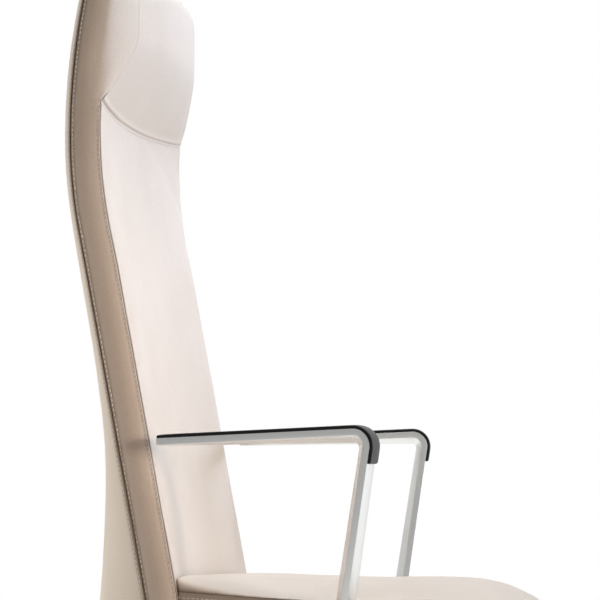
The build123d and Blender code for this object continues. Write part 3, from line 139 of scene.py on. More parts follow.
# Painted shade of a rear seam: its darkness and width, then darkness, distance and width of the stitched line
# beside it
BACK_RIM_SHADE, SHELL_RIM_SHADE = (0.7, 2.0, 0.4, 3.5, 2.2), (0.7, 1.6, 0.45, 3.0, 1.6)
SEAT_GROOVE_WIDTH, SEAT_LIP, SEAT_LIP_GAP, SEAT_LIP_WIDTH = 1.4, 0.7, 4.0, 2.0
# Painted shade along the seat's seam and down its side band: darkness and width of each
SEAT_SEAM_SHADE, SEAT_SEAM_SHADE_WIDTH, SEAT_BAND_SHADE, SEAT_BAND_SHADE_WIDTH = 0.9, 1.3, 0.4, 14.0
# Gathers along the seat's seam: height, number round the seat, drift and its number, distance and width
PUCKER, PUCKERS, PUCKER_DRIFT, PUCKER_DRIFTS, PUCKER_GAP, PUCKER_WIDTH = 0.35, 55, 3.0, 7, 5.0, 6.0
# Wrinkles below that seam: height, radians per millimetre, drift and its number, distance and width
WRINKLE, WRINKLE_TURN, WRINKLE_DRIFT, WRINKLE_DRIFTS, WRINKLE_GAP, WRINKLE_WIDTH = 0.5, 1.9, 2.5, 9, 9.0, 5.0
# Slow unevenness of the leather: height, and waves per millimetre
BACK_WAVES, SHELL_WAVES, SEAT_WAVES, SEAT_WAVE_GAP = (0.35, 0.016), (0.5, 0.011), (0.5, 0.014), 6.0
# One stitch: places and sides of its rings, how it thins and sinks to its ends, and how far it stands up
STITCH_RINGS, STITCH_SIDES = (-1, -0.8, -0.3, 0.3, 0.8, 1), 6
STITCH_THIN, STITCH_TIP, STITCH_LIFT, STITCH_SINK = 0.9, 0.05, 0.7, 1.0

# Armrest, in the plane of the bar: forward along the arm, and up
ARM_CORNER = np.array([-281.0, -32.0, 665.0])
ARM_TOE, ARM_SLOPE, ARM_LEG_SLOPE = math.radians(6), math.radians(2.6), math.radians(8.3)
ARM_LENGTH, ARM_WIDTH, ARM_CORNER_RADIUS = 274.0, 38.0, 21.0
PAD_GAP, PAD_THICKNESS, PAD_DROP, PAD_EDGE = 0.1, 4.2, 44.0, 1.3
PAD_FOOT, PAD_LIFT, PAD_CROWN, PAD_STEP, PAD_LEG_STEP, PAD_TURNS = 0.2, 0.35, 0.35, 14.0, 5.0, 12
PAD_TOP_SHARE, PAD_TOP_COLUMNS, PAD_FLAT_SHARE, PAD_FLAT_COLUMNS = 0.8, 7, 0.7, 5
# The pad's rounded upper edge: distance in from the side and down from the top, as shares of the edge
PAD_CURVE = ((0.0, 1.0), (0.35, 0.3), (1.2, 0.0))
# The pad's rounded ends: distance from the tip, share of the height and share of the width
PAD_ENDS = ((0.0, 0.35, 0.93), (0.5, 0.7, 0.97), (1.6, 0.94, 0.995))


def linear(hex_colour):
    """Turn an sRGB hex colour into linear red, green, blue and full alpha."""
    parts = [int(hex_colour[at:at + 2], 16) / 255 for at in (1, 3, 5)]
    return [c / 12.92 if c <= 0.04045 else ((c + 0.055) / 1.055) ** 2.4 for c in parts] + [1.0]


class ChairSizes(bpy.types.PropertyGroup):
    """Sizes of the sewing and of the softened edges."""
    stitch_pitch: bpy.props.FloatProperty(
        name="Stitch pitch", description="Distance from one stitch to the next", default=0.0062,
        subtype="DISTANCE", unit="LENGTH")
    stitch_length: bpy.props.FloatProperty(
        name="Stitch length", description="Thread seen between two needle holes", default=0.0043,
        subtype="DISTANCE", unit="LENGTH")
    thread_diameter: bpy.props.FloatProperty(
        name="Thread diameter", description="Diameter of the sewing thread", default=0.0013,
        subtype="DISTANCE", unit="LENGTH")
    seam_depth: bpy.props.FloatProperty(
        name="Seam depth", description="How deep a sewn seam pulls the leather in", default=0.0019,
        subtype="DISTANCE", unit="LENGTH")
    metal_edge: bpy.props.FloatProperty(
        name="Metal edge", description="Rounding of the armrest's polished edges", default=0.0013,
        subtype="DISTANCE", unit="LENGTH")
    foam_pressure: bpy.props.FloatProperty(
        name="Foam pressure", description="Pressure of the foam under the leather", default=4.0)


class ChairColours(bpy.types.PropertyGroup):
    """Colours of the chair and of the studio."""
    leather: bpy.props.FloatVectorProperty(
        name="Leather", description="Main colour of the hide", default=linear("#EBE1D6"), size=4,
        subtype="COLOR")
    leather_deep: bpy.props.FloatVectorProperty(
        name="Leather shade", description="Colour of the hide between its pebbles", default=linear("#DDCEBF"),
        size=4, subtype="COLOR")
    # Painted shade colour, mixed into the leather in and beside its seams
    seam: bpy.props.FloatVectorProperty(
        name="Seam", description="Colour deep inside a seam", default=linear("#5A4A3C"), size=4,
        subtype="COLOR")
    thread: bpy.props.FloatVectorProperty(
        name="Thread", description="Colour of the sewing thread", default=linear("#FFFAF2"), size=4,
        subtype="COLOR")
    aluminium: bpy.props.FloatVectorProperty(
        name="Aluminium", description="Colour of the polished aluminium", default=linear("#F1F1EF"), size=4,
        subtype="COLOR")
    pad: bpy.props.FloatVectorProperty(
        name="Arm pad", description="Colour of the soft arm pads", default=linear("#0B0B0C"), size=4,
        subtype="COLOR")
    plastic: bpy.props.FloatVectorProperty(
        name="Plastic", description="Colour of the moulded plastic parts", default=linear("#1B1B1C"), size=4,
        subtype="COLOR")
    floor: bpy.props.FloatVectorProperty(
        name="Floor", description="Colour of the studio floor", default=linear("#B9B7B4"), size=4,
        subtype="COLOR")


def add_node(tree, kind, inputs=None, **settings):
    """Add a shader node with its settings. An input is a plain value or another node's output."""
    made = tree.nodes.new(kind)
    for key, value in settings.items():
        setattr(made, key, value)
    for key, value in (inputs or {}).items():
        if isinstance(value, bpy.types.NodeSocket):
            tree.links.new(value, made.inputs[key])
        else:
            made.inputs[key].default_value = value
    return made


def new_tree(name):
    """A new material and its empty node tree."""
    material = bpy.data.materials.new(name)
    material.use_nodes = True
    material.node_tree.nodes.clear()
    return material, material.node_tree


def finish_surface(tree, inputs):
    """Close a material with its surface shader."""
    surface = add_node(tree, "ShaderNodeBsdfPrincipled", inputs)
    add_node(tree, "ShaderNodeOutputMaterial", {"Surface": surface.outputs["BSDF"]})


def cowhide_embossed(colours):
    """Pigmented cowhide with an embossed pebble grain."""
    # Cream pigment evens out the hide, so the eye sees soft pebbles, a satin gloss on their tops and faint
    # clouds of colour. Painted shade darkens the leather where seams draw it in and beside them.
    material, tree = new_tree("cowhide_pigmented_embossed")
    place = add_node(tree, "ShaderNodeTexCoord").outputs["Object"]
    # Real pebbles are about 0.9 mm across; they are drawn 1.7 mm across so that they show.
    pebble = add_node(tree, "ShaderNodeTexVoronoi", {"Vector": place, "Scale": 1 / 0.0017, "Smoothness": 0.6},
                      feature="SMOOTH_F1")
    crease = add_node(tree, "ShaderNodeTexNoise", {"Vector": place, "Scale": 1 / 0.006, "Detail": 4.0,
                                                   "Roughness": 0.6})
    cloud = add_node(tree, "ShaderNodeTexNoise", {"Vector": place, "Scale": 1 / 0.11, "Detail": 3.0})
    hide = add_node(tree, "ShaderNodeMapRange", {"Value": pebble.outputs["Distance"], "From Min": 0.25,
                                                 "From Max": 0.8, "To Min": 0.0, "To Max": 0.45})
    patch = add_node(tree, "ShaderNodeMapRange", {"Value": cloud.outputs["Fac"], "From Min": 0.35,
                                                  "From Max": 0.7, "To Min": 0.0, "To Max": 0.3})
    depth = add_node(tree, "ShaderNodeMath", {0: hide.outputs["Result"], 1: patch.outputs["Result"]},
                     operation="ADD")
    colour = add_node(tree, "ShaderNodeMix", {"Factor": depth.outputs["Value"], 6: list(colours.leather),
                                              7: list(colours.leather_deep)}, data_type="RGBA")
    # Painted shade: the seam_shade attribute mixes the seam colour in at and beside the seams
    seam = add_node(tree, "ShaderNodeAttribute", attribute_name="seam_shade")
    sewn = add_node(tree, "ShaderNodeMix", {"Factor": seam.outputs["Fac"], 6: colour.outputs[2],
                                            7: list(colours.seam)}, data_type="RGBA")
    gloss = add_node(tree, "ShaderNodeMapRange", {"Value": crease.outputs["Fac"], "From Min": 0.3,
                                                  "From Max": 0.7, "To Min": 0.44, "To Max": 0.58})
    height = add_node(tree, "ShaderNodeMath", {0: pebble.outputs["Distance"], 1: -0.8,
                                               2: crease.outputs["Fac"]}, operation="MULTIPLY_ADD")
    relief = add_node(tree, "ShaderNodeBump", {"Height": height.outputs["Value"], "Strength": 0.35,
                                               "Distance": 0.0004})
    finish_surface(tree, {"Base Color": sewn.outputs[2], "Roughness": gloss.outputs["Result"],
                          "IOR": 1.5, "Specular IOR Level": 0.45, "Sheen Weight": 0.08,
                          "Sheen Roughness": 0.4, "Normal": relief.outputs["Normal"]})
    return material


def polyester_twisted(colours):
    """Twisted polyester sewing thread."""
    # Three plies twisted together give each stitch fine slanting ridges and a dry sheen.
    material, tree = new_tree("polyester_thread_twisted")
    place = add_node(tree, "ShaderNodeTexCoord").outputs["Object"]
    # Plies are about 0.8 mm apart, too fine to show. Their bands are drawn about 6 mm apart, so that stitches
    # differ a little in tone.
    ply = add_node(tree, "ShaderNodeTexWave", {"Vector": place, "Scale": 1 / (0.0008 * 20),
                                               "Distortion": 1.5}, bands_direction="DIAGONAL")
    shade = add_node(tree, "ShaderNodeMix", {"Factor": ply.outputs["Fac"], 6: list(colours.thread),
                                             7: linear("#F3EADC")}, data_type="RGBA")
    relief = add_node(tree, "ShaderNodeBump", {"Height": ply.outputs["Fac"], "Strength": 0.4,
                                               "Distance": 0.0002})
    finish_surface(tree, {"Base Color": shade.outputs[2], "Roughness": 0.6, "IOR": 1.53,
                          "Sheen Weight": 0.2, "Normal": relief.outputs["Normal"]})
    return material


def aluminium_polished(colours):
    """Die-cast aluminium, ground and polished by wheel."""
    # The wheel leaves a soft silver mirror with faint lines along the bar and a slight haze.
    material, tree = new_tree("aluminium_die_cast_polished")
    place = add_node(tree, "ShaderNodeTexCoord").outputs["Object"]
    # Polishing lines are finer than 0.2 mm; they are drawn 0.8 mm apart and 30 mm long.
    stretch = add_node(tree, "ShaderNodeMapping", {"Vector": place,
                                                   "Scale": (1 / 0.0008, 1 / 0.03, 1 / 0.0012)})
    lines = add_node(tree, "ShaderNodeTexNoise", {"Vector": stretch.outputs["Vector"], "Scale": 1.0,
                                                  "Detail": 3.0})
    haze = add_node(tree, "ShaderNodeTexNoise", {"Vector": place, "Scale": 1 / 0.05, "Detail": 2.0})
    both = add_node(tree, "ShaderNodeMath", {0: lines.outputs["Fac"], 1: 0.5, 2: haze.outputs["Fac"]},
                    operation="MULTIPLY_ADD")
    rough = add_node(tree, "ShaderNodeMapRange", {"Value": both.outputs["Value"], "From Min": 0.5,
                                                  "From Max": 1.0, "To Min": 0.3, "To Max": 0.4})
    tone = add_node(tree, "ShaderNodeMix", {"Factor": haze.outputs["Fac"], 6: list(colours.aluminium),
                                            7: linear("#E7E7E5")}, data_type="RGBA")
    relief = add_node(tree, "ShaderNodeBump", {"Height": lines.outputs["Fac"], "Strength": 0.05,
                                               "Distance": 0.0001})
    finish_surface(tree, {"Base Color": tone.outputs[2], "Metallic": 1.0,
                          "Roughness": rough.outputs["Result"], "Normal": relief.outputs["Normal"]})
    return material


def polyurethane_moulded(colours):
    """Integral-skin polyurethane foam, moulded."""
    # The mould gives the soft skin a fine even grain and a dull black sheen.
    material, tree = new_tree("polyurethane_integral_skin_moulded")
    place = add_node(tree, "ShaderNodeTexCoord").outputs["Object"]
    # Mould grain is about 0.4 mm; it is drawn 0.9 mm across so that it shows.
    grain = add_node(tree, "ShaderNodeTexVoronoi", {"Vector": place, "Scale": 1 / 0.0009})
    worn = add_node(tree, "ShaderNodeTexNoise", {"Vector": place, "Scale": 1 / 0.04, "Detail": 4.0})
    tone = add_node(tree, "ShaderNodeMix", {"Factor": worn.outputs["Fac"], 6: list(colours.pad),
                                            7: linear("#121213")}, data_type="RGBA")
    rough = add_node(tree, "ShaderNodeMapRange", {"Value": worn.outputs["Fac"], "From Min": 0.3,
                                                  "From Max": 0.7, "To Min": 0.36, "To Max": 0.5})
    relief = add_node(tree, "ShaderNodeBump", {"Height": grain.outputs["Distance"], "Strength": 0.25,
                                               "Distance": 0.0002})
    finish_surface(tree, {"Base Color": tone.outputs[2], "Roughness": rough.outputs["Result"], "IOR": 1.5,
                          "Specular IOR Level": 0.3, "Normal": relief.outputs["Normal"]})
    return material


def nylon_moulded(colours):
    """Glass-filled nylon, injection moulded."""
    # Spark-eroded moulds leave a fine matt grain; glass fibre adds a faint grey bloom.
    material, tree = new_tree("nylon_glass_filled_moulded")
    place = add_node(tree, "ShaderNodeTexCoord").outputs["Object"]
    # The grain is about 0.15 mm; it is drawn 0.7 mm across so that it shows.
    grain = add_node(tree, "ShaderNodeTexNoise", {"Vector": place, "Scale": 1 / 0.0007, "Detail": 2.0})
    bloom = add_node(tree, "ShaderNodeTexNoise", {"Vector": place, "Scale": 1 / 0.03, "Detail": 5.0})
    tone = add_node(tree, "ShaderNodeMix", {"Factor": bloom.outputs["Fac"], 6: list(colours.plastic),
                                            7: linear("#29292B")}, data_type="RGBA")
    rough = add_node(tree, "ShaderNodeMapRange", {"Value": grain.outputs["Fac"], "To Min": 0.42,
                                                  "To Max": 0.6})
    relief = add_node(tree, "ShaderNodeBump", {"Height": grain.outputs["Fac"], "Strength": 0.2,
                                               "Distance": 0.0002})
    finish_surface(tree, {"Base Color": tone.outputs[2], "Roughness": rough.outputs["Result"], "IOR": 1.53,
                          "Normal": relief.outputs["Normal"]})
    return material


def polyurethane_tread(colours):
    """Polyurethane tyre moulded on a nylon wheel."""
    # The tyre is greyer and duller than the wheel's face, and scuffed where it rolls.
    material, tree = new_tree("polyurethane_tread_on_nylon_moulded")
    coords = add_node(tree, "ShaderNodeTexCoord")
    facing = add_node(tree, "ShaderNodeSeparateXYZ", {"Vector": coords.outputs["Normal"]})
    flat = add_node(tree, "ShaderNodeMath", {0: facing.outputs["X"]}, operation="ABSOLUTE")
    face = add_node(tree, "ShaderNodeMapRange", {"Value": flat.outputs["Value"], "From Min": 0.45,
                                                 "From Max": 0.6})
    # Scuffs are 1 to 3 mm long.
    scuff = add_node(tree, "ShaderNodeTexNoise", {"Vector": coords.outputs["Object"], "Scale": 1 / 0.002,
                                                  "Detail": 4.0, "Roughness": 0.7})
    tyre = add_node(tree, "ShaderNodeMix", {"Factor": scuff.outputs["Fac"], 6: linear("#3A3A3C"),
                                            7: linear("#58585A")}, data_type="RGBA")
    tone = add_node(tree, "ShaderNodeMix", {"Factor": face.outputs["Result"], 6: tyre.outputs[2],
                                            7: list(colours.plastic)}, data_type="RGBA")
    rough = add_node(tree, "ShaderNodeMapRange", {"Value": face.outputs["Result"], "To Min": 0.72,
                                                  "To Max": 0.45})
    relief = add_node(tree, "ShaderNodeBump", {"Height": scuff.outputs["Fac"], "Strength": 0.2,
                                               "Distance": 0.0003})
    finish_surface(tree, {"Base Color": tone.outputs[2], "Roughness": rough.outputs["Result"], "IOR": 1.5,
                          "Normal": relief.outputs["Normal"]})
    return material


def steel_zinc_plated(colours):
    """Cold-drawn steel, zinc plated."""
    # Clear passivated zinc looks bluish grey, with fine drawing lines and faint crystals.
    material, tree = new_tree("steel_drawn_zinc_plated")
    place = add_node(tree, "ShaderNodeTexCoord").outputs["Object"]
    # Zinc crystals show as patches about 1.5 mm across.
    spangle = add_node(tree, "ShaderNodeTexVoronoi", {"Vector": place, "Scale": 1 / 0.0015})
    fine = add_node(tree, "ShaderNodeTexNoise", {"Vector": place, "Scale": 1 / 0.006, "Detail": 4.0})
    tone = add_node(tree, "ShaderNodeMix", {"Factor": spangle.outputs["Color"], 6: linear("#B4B6BA"),
                                            7: linear("#9FA2A6")}, data_type="RGBA")
    rough = add_node(tree, "ShaderNodeMapRange", {"Value": fine.outputs["Fac"], "To Min": 0.25,
                                                  "To Max": 0.45})
    finish_surface(tree, {"Base Color": tone.outputs[2], "Metallic": 1.0,
                          "Roughness": rough.outputs["Result"]})
    return material


def steel_chromed(colours):
    """Ground steel tube, hard-chrome plated."""
    # Chrome keeps faint grinding rings round the tube under a bright mirror.
    material, tree = new_tree("steel_ground_chrome_plated")
    place = add_node(tree, "ShaderNodeTexCoord").outputs["Object"]
    # Grinding rings are about 0.5 mm apart along the axis.
    squeeze = add_node(tree, "ShaderNodeMapping", {"Vector": place, "Scale": (4.0, 4.0, 1 / 0.0005)})
    rings = add_node(tree, "ShaderNodeTexNoise", {"Vector": squeeze.outputs["Vector"], "Scale": 1.0,
                                                  "Detail": 2.0})
    rough = add_node(tree, "ShaderNodeMapRange", {"Value": rings.outputs["Fac"], "To Min": 0.06,
                                                  "To Max": 0.16})
    tone = add_node(tree, "ShaderNodeMix", {"Factor": rings.outputs["Fac"], 6: linear("#D9DADC"),
                                            7: linear("#C9CBCE")}, data_type="RGBA")
    finish_surface(tree, {"Base Color": tone.outputs[2], "Metallic": 1.0,
                          "Roughness": rough.outputs["Result"]})
    return material


def steel_powder_coated(colours):
    """Pressed steel, powder coated."""
    # Baked powder flows into a satin black skin with the fine waves of orange peel.
    material, tree = new_tree("steel_pressed_powder_coated")
    place = add_node(tree, "ShaderNodeTexCoord").outputs["Object"]
    # Orange peel has waves about 1.5 mm long.
    peel = add_node(tree, "ShaderNodeTexNoise", {"Vector": place, "Scale": 1 / 0.0015, "Detail": 1.0})
    bloom = add_node(tree, "ShaderNodeTexNoise", {"Vector": place, "Scale": 1 / 0.05, "Detail": 3.0})
    tone = add_node(tree, "ShaderNodeMix", {"Factor": bloom.outputs["Fac"], 6: linear("#19191A"),
                                            7: linear("#232324")}, data_type="RGBA")
    rough = add_node(tree, "ShaderNodeMapRange", {"Value": bloom.outputs["Fac"], "To Min": 0.3,
                                                  "To Max": 0.46})
    relief = add_node(tree, "ShaderNodeBump", {"Height": peel.outputs["Fac"], "Strength": 0.15,
                                               "Distance": 0.0003})
    finish_surface(tree, {"Base Color": tone.outputs[2], "Roughness": rough.outputs["Result"], "IOR": 1.55,
                          "Normal": relief.outputs["Normal"]})
    return material


def aluminium_cast_painted(colours):
    """Pressure die-cast aluminium, painted."""
    # Thin matt paint leaves the slight pitting and flow marks of the casting in view.
    material, tree = new_tree("aluminium_die_cast_painted")
    place = add_node(tree, "ShaderNodeTexCoord").outputs["Object"]
    # Casting marks are 2 to 4 mm across.
    flow = add_node(tree, "ShaderNodeTexNoise", {"Vector": place, "Scale": 1 / 0.003, "Detail": 6.0})
    tone = add_node(tree, "ShaderNodeMix", {"Factor": flow.outputs["Fac"], 6: linear("#303032"),
                                            7: linear("#3D3D3F")}, data_type="RGBA")
    rough = add_node(tree, "ShaderNodeMapRange", {"Value": flow.outputs["Fac"], "To Min": 0.4,
                                                  "To Max": 0.62})
    relief = add_node(tree, "ShaderNodeBump", {"Height": flow.outputs["Fac"], "Strength": 0.3,
                                               "Distance": 0.0004})
    finish_surface(tree, {"Base Color": tone.outputs[2], "Metallic": 0.25,
                          "Roughness": rough.outputs["Result"], "Normal": relief.outputs["Normal"]})
    return material


def rubber_moulded(colours):
    """Natural rubber, compression moulded."""
    # Black rubber is dull, with a dusty bloom and the soft flow lines of the mould.
    material, tree = new_tree("natural_rubber_moulded")
    place = add_node(tree, "ShaderNodeTexCoord").outputs["Object"]
    # Bloom forms patches about 8 mm across.
    bloom = add_node(tree, "ShaderNodeTexNoise", {"Vector": place, "Scale": 1 / 0.008, "Detail": 5.0})
    tone = add_node(tree, "ShaderNodeMix", {"Factor": bloom.outputs["Fac"], 6: linear("#161616"),
                                            7: linear("#2B2A29")}, data_type="RGBA")
    rough = add_node(tree, "ShaderNodeMapRange", {"Value": bloom.outputs["Fac"], "To Min": 0.65,
                                                  "To Max": 0.85})
    finish_surface(tree, {"Base Color": tone.outputs[2], "Roughness": rough.outputs["Result"], "IOR": 1.52})
    return material


def beech_plywood(colours):
    """Beech plywood, rotary cut, pressed and lacquered."""
    # Short brown flecks run along the veneer, and its edges show light and dark plies.
    material, tree = new_tree("beech_plywood_rotary_cut")
    place = add_node(tree, "ShaderNodeTexCoord").outputs["Object"]
    # Growth figure repeats about every 9 mm, flecks are about 0.6 by 4 mm, plies 1.5 mm thick.
    stretch = add_node(tree, "ShaderNodeMapping", {"Vector": place,
                                                   "Scale": (1 / 0.009, 1 / 0.12, 1 / 0.0015)})
    figure = add_node(tree, "ShaderNodeTexNoise", {"Vector": stretch.outputs["Vector"], "Scale": 1.0,
                                                   "Detail": 4.0, "Distortion": 0.6})
    spots = add_node(tree, "ShaderNodeMapping", {"Vector": place,
                                                 "Scale": (1 / 0.0006, 1 / 0.004, 1 / 0.0015)})
    fleck = add_node(tree, "ShaderNodeTexNoise", {"Vector": spots.outputs["Vector"], "Scale": 1.0})
    dark = add_node(tree, "ShaderNodeMapRange", {"Value": fleck.outputs["Fac"], "From Min": 0.6,
                                                 "From Max": 0.75, "To Min": 0.0, "To Max": 0.6})
    wood = add_node(tree, "ShaderNodeMix", {"Factor": figure.outputs["Fac"], 6: linear("#D2AE83"),
                                            7: linear("#B78C60")}, data_type="RGBA")
    tone = add_node(tree, "ShaderNodeMix", {"Factor": dark.outputs["Result"], 6: wood.outputs[2],
                                            7: linear("#8C623C")}, data_type="RGBA")
    rough = add_node(tree, "ShaderNodeMapRange", {"Value": figure.outputs["Fac"], "To Min": 0.42,
                                                  "To Max": 0.6})
    finish_surface(tree, {"Base Color": tone.outputs[2], "Roughness": rough.outputs["Result"], "IOR": 1.5})
    return material


def paper_matt(colours):
    """Matt seamless studio paper with a painted glow."""
    # Paper scatters light evenly, with a barely seen mottle. A painted glow, fainter near the chair, burns it
    # out to white away from the chair, so that it runs into the backdrop with no edge.
    material, tree = new_tree("studio_paper_matt")
    place = add_node(tree, "ShaderNodeTexCoord").outputs["Object"]
    # The mottle is about 60 mm across.
    mottle = add_node(tree, "ShaderNodeTexNoise", {"Vector": place, "Scale": 1 / 0.06, "Detail": 3.0})
    tone = add_node(tree, "ShaderNodeMix", {"Factor": mottle.outputs["Fac"], 6: list(colours.floor),
                                            7: linear("#B4B2AF")}, data_type="RGBA")
    radius = add_node(tree, "ShaderNodeVectorMath", {0: place}, operation="LENGTH")
    # Painted glow, rising with distance from the chair
    painted_glow = add_node(tree, "ShaderNodeMapRange", {"Value": radius.outputs["Value"], "From Min": 0.5,
                                                 "From Max": 2.0, "To Min": 0.42, "To Max": 1.0},
                    interpolation_type="SMOOTHSTEP")
    finish_surface(tree, {"Base Color": tone.outputs[2], "Roughness": 0.9, "Specular IOR Level": 0.0,
                          "Emission Color": linear("#FFFFFF"), "Emission Strength": painted_glow.outputs["Result"]})
    return material


FINISHES = {}
MAKERS = {
    "leather": cowhide_embossed, "thread": polyester_twisted, "polished_aluminium": aluminium_polished,
    "soft_pad": polyurethane_moulded, "black_plastic": nylon_moulded, "wheel_tread": polyurethane_tread,
    "steel": steel_zinc_plated, "chrome_lift": steel_chromed, "black_painted_steel": steel_powder_coated,
    "die_cast_housing": aluminium_cast_painted, "black_rubber": rubber_moulded, "plywood": beech_plywood,
    "paper": paper_matt,
}


def finish_of(name):
    """The material for a finish, made once."""
    if name not in FINISHES:
        FINISHES[name] = MAKERS[name](bpy.context.scene.chair_colours)
    return FINISHES[name]


def portion(distance, length):
    """How much of a length is covered, from 0 to 1."""
    return min(max(distance / length, 0), 1)


def round_off(distance, size):
    """Share lost at a distance past the start of a rounded edge of the given size."""
    share = portion(distance, size)
    return 1 - math.sqrt(1 - share * share)


def back_seam_y(z):
    """Y of the rear edge of the back's side band: a straight lean, then two arcs that bend it forward."""
    slope = math.tan(BACK_ANGLE)
    if z <= BACK_STRAIGHT_TOP:
        return BACK_SEAM_Y + (z - SEAT_TOP) * slope
    bend_y = BACK_SEAM_Y + (BACK_STRAIGHT_TOP - SEAT_TOP) * slope
    apex_z = BACK_STRAIGHT_TOP + BACK_LOWER_RADIUS * math.sin(BACK_ANGLE)
    apex_y = bend_y + BACK_LOWER_RADIUS * (1 - math.cos(BACK_ANGLE))
    radius = BACK_LOWER_RADIUS if z < apex_z else BACK_UPPER_RADIUS
    return apex_y - radius + math.sqrt(radius * radius - (z - apex_z) ** 2)


def back_front_y(z):
    """Y of the front edge of the back's side band, which narrows towards the headrest."""
    return back_seam_y(z) - BACK_BAND + BACK_TAPER * portion(z - BACK_TAPER_START, BACK_TAPER_LENGTH)


def rear_seam_y(z):
    """Y of the sewn rear seam, a little behind the band's edge and most so under the headrest."""
    more = math.exp(-(((z - REAR_SEAM_MORE_Z) / REAR_SEAM_MORE_HEIGHT) ** 2))
    return back_seam_y(z) + REAR_SEAM_BEHIND + REAR_SEAM_MORE * more


def lower_round(z):
    """Depth lost at the back's rounded lower edge."""
    past = BACK_BOTTOM + BACK_BOTTOM_ROUND - z
    return BACK_BOTTOM_ROUND * round_off(past, BACK_BOTTOM_ROUND * BACK_ROUND_REACH)


def back_half_width(z):
    """Half width of the back, drawn in at the shoulders and at the lower edge."""
    return BACK_HALF_WIDTH - SHOULDER_DRAW * round_off(z - SHOULDER_START, SHOULDER_HEIGHT) - lower_round(z)


def shell_bulge(z):
    """How far the rear shell swells behind the seam on the centre line."""
    below = SHELL_FLARE_TOP - z
    flare = SHELL_FLARE * (math.sqrt(below * below + SHELL_FLARE_BLEND**2) + below) / 2
    top = 1 - round_off(z - SHELL_ROUND_START, SHELL_TOP - SHELL_ROUND_START)
    upper = portion(z - BACK_STRAIGHT_TOP, HEAD_SEAM - BACK_STRAIGHT_TOP)
    return (SHELL_BULGE + flare + SHELL_UPPER_SWELL * upper - lower_round(z)) * top


def head_blend(z):
    """1 at the seam under the headrest, 0 where the pad has its full form."""
    return max(1 - (z - HEAD_SEAM) / HEAD_RISE, 0) ** HEAD_RISE_POWER


def seat_half_width(y):
    """Half width of the seat in plan."""
    if y < 0:
        share = (y / SEAT_PLAN_FRONT) ** SEAT_FRONT_POWER
        return SEAT_HALF_WIDTH * (1 - share) ** (1 / SEAT_FRONT_POWER)
    taper = (SEAT_HALF_WIDTH - SEAT_REAR_HALF_WIDTH) * (y / SEAT_REAR) ** 2
    past = y - SEAT_REAR + SEAT_REAR_ROUND
    corner = SEAT_REAR_ROUND * round_off(past, SEAT_REAR_ROUND * SEAT_ROUND_REACH)
    return SEAT_HALF_WIDTH - taper - corner


def seat_crown_z(y):
    """Height of the seat on its centre line: highest at the rear, a little sat in, falling away in front."""
    share = portion(SEAT_REAR - y, SEAT_SET_LENGTH)
    settled = SEAT_SET * share * share * (3 - 2 * share)
    sag = SEAT_SAG * math.exp(-(((y - SEAT_SAG_Y) / SEAT_SAG_LENGTH) ** 2))
    reach = max((SEAT_FALL_START - y) / (SEAT_FALL_START - SEAT_FRONT), 0)
    return SEAT_TOP - settled - sag - (SEAT_THICKNESS - SEAT_SET - SEAT_NOSE) * reach**SEAT_FALL_POWER


def corner_puff(xs, y):
    """Leather pushed up against the back at the seat's right rear corner, down to nothing at the seam."""
    inside = np.max(xs) - np.abs(xs) + PUFF_SEAM
    roll = 1 - np.exp(-((inside / PUFF_ROLL) ** 2))
    along = math.exp((y - SEAT_REAR) / PUFF_LENGTH)
    across = np.exp(-(((xs + SEAT_REAR_HALF_WIDTH) / PUFF_WIDTH) ** 2))
    return PUFF_HEIGHT * along * across * roll


def spread(start, stop, step):
    """Evenly spaced numbers, about a step apart."""
    return list(np.linspace(start, stop, max(2, round(abs(stop - start) / step) + 1)))


def mesh_piece(name, points, faces, material):
    """A smooth-shaded piece from points in millimetres, with its faces turned outwards."""
    mesh = bpy.data.meshes.new(name)
    mesh.from_pydata((np.asarray(points, float) * MM).tolist(), [], faces)
    work = bmesh.new()
    work.from_mesh(mesh)
    bmesh.ops.recalc_face_normals(work, faces=work.faces)
    work.to_mesh(mesh)
    work.free()
    mesh.shade_smooth()
    mesh.materials.append(material)
    piece = bpy.data.objects.new(name, mesh)
    bpy.context.scene.collection.objects.link(piece)
    return piece


def net(index):
    """Quads between the neighbours of a grid of point numbers."""
    rows, columns = index.shape
    return [[int(index[i, j]), int(index[i + 1, j]), int(index[i + 1, j + 1]), int(index[i, j + 1])]
            for i in range(rows - 1) for j in range(columns - 1)]


def tube(rings, size):
    """Quads round a tube of rings that have the same number of points, and a cap on each end."""
    faces = [[r * size + k, r * size + (k + 1) % size, (r + 1) * size + (k + 1) % size, (r + 1) * size + k]
             for r in range(rings - 1) for k in range(size)]
    return faces + [list(range(size)), list(range((rings - 1) * size, rings * size))]


def pillow(name, front, rear, material):
    """A piece of two sheets of points joined round their rim, and the numbers of the front sheet's points."""
    rows, columns = front.shape[:2]
    front_index = np.arange(rows * columns).reshape(rows, columns)
    rear_index = front_index.copy()
    inner = (rows - 2) * (columns - 2)
    rear_index[1:-1, 1:-1] = rows * columns + np.arange(inner).reshape(rows - 2, columns - 2)
    points = np.vstack([front.reshape(-1, 3), rear[1:-1, 1:-1].reshape(-1, 3)])
    faces = net(front_index) + net(rear_index)
    return mesh_piece(name, points, faces, material), front_index


def coordinates(mesh):
    """A mesh's points as an array."""
    flat = np.zeros(len(mesh.vertices) * 3)
    mesh.vertices.foreach_get("co", flat)
    return flat.reshape(-1, 3)


def normals(mesh):
    """A mesh's point normals as an array."""
    flat = np.zeros(len(mesh.vertices) * 3)
    mesh.vertex_normals.foreach_get("vector", flat)
    return flat.reshape(-1, 3)


def reshape(mesh, points):
    """Give a mesh new points."""
    mesh.vertices.foreach_set("co", np.asarray(points, float).reshape(-1))
    mesh.update()


CLOTH_STEPS = 20


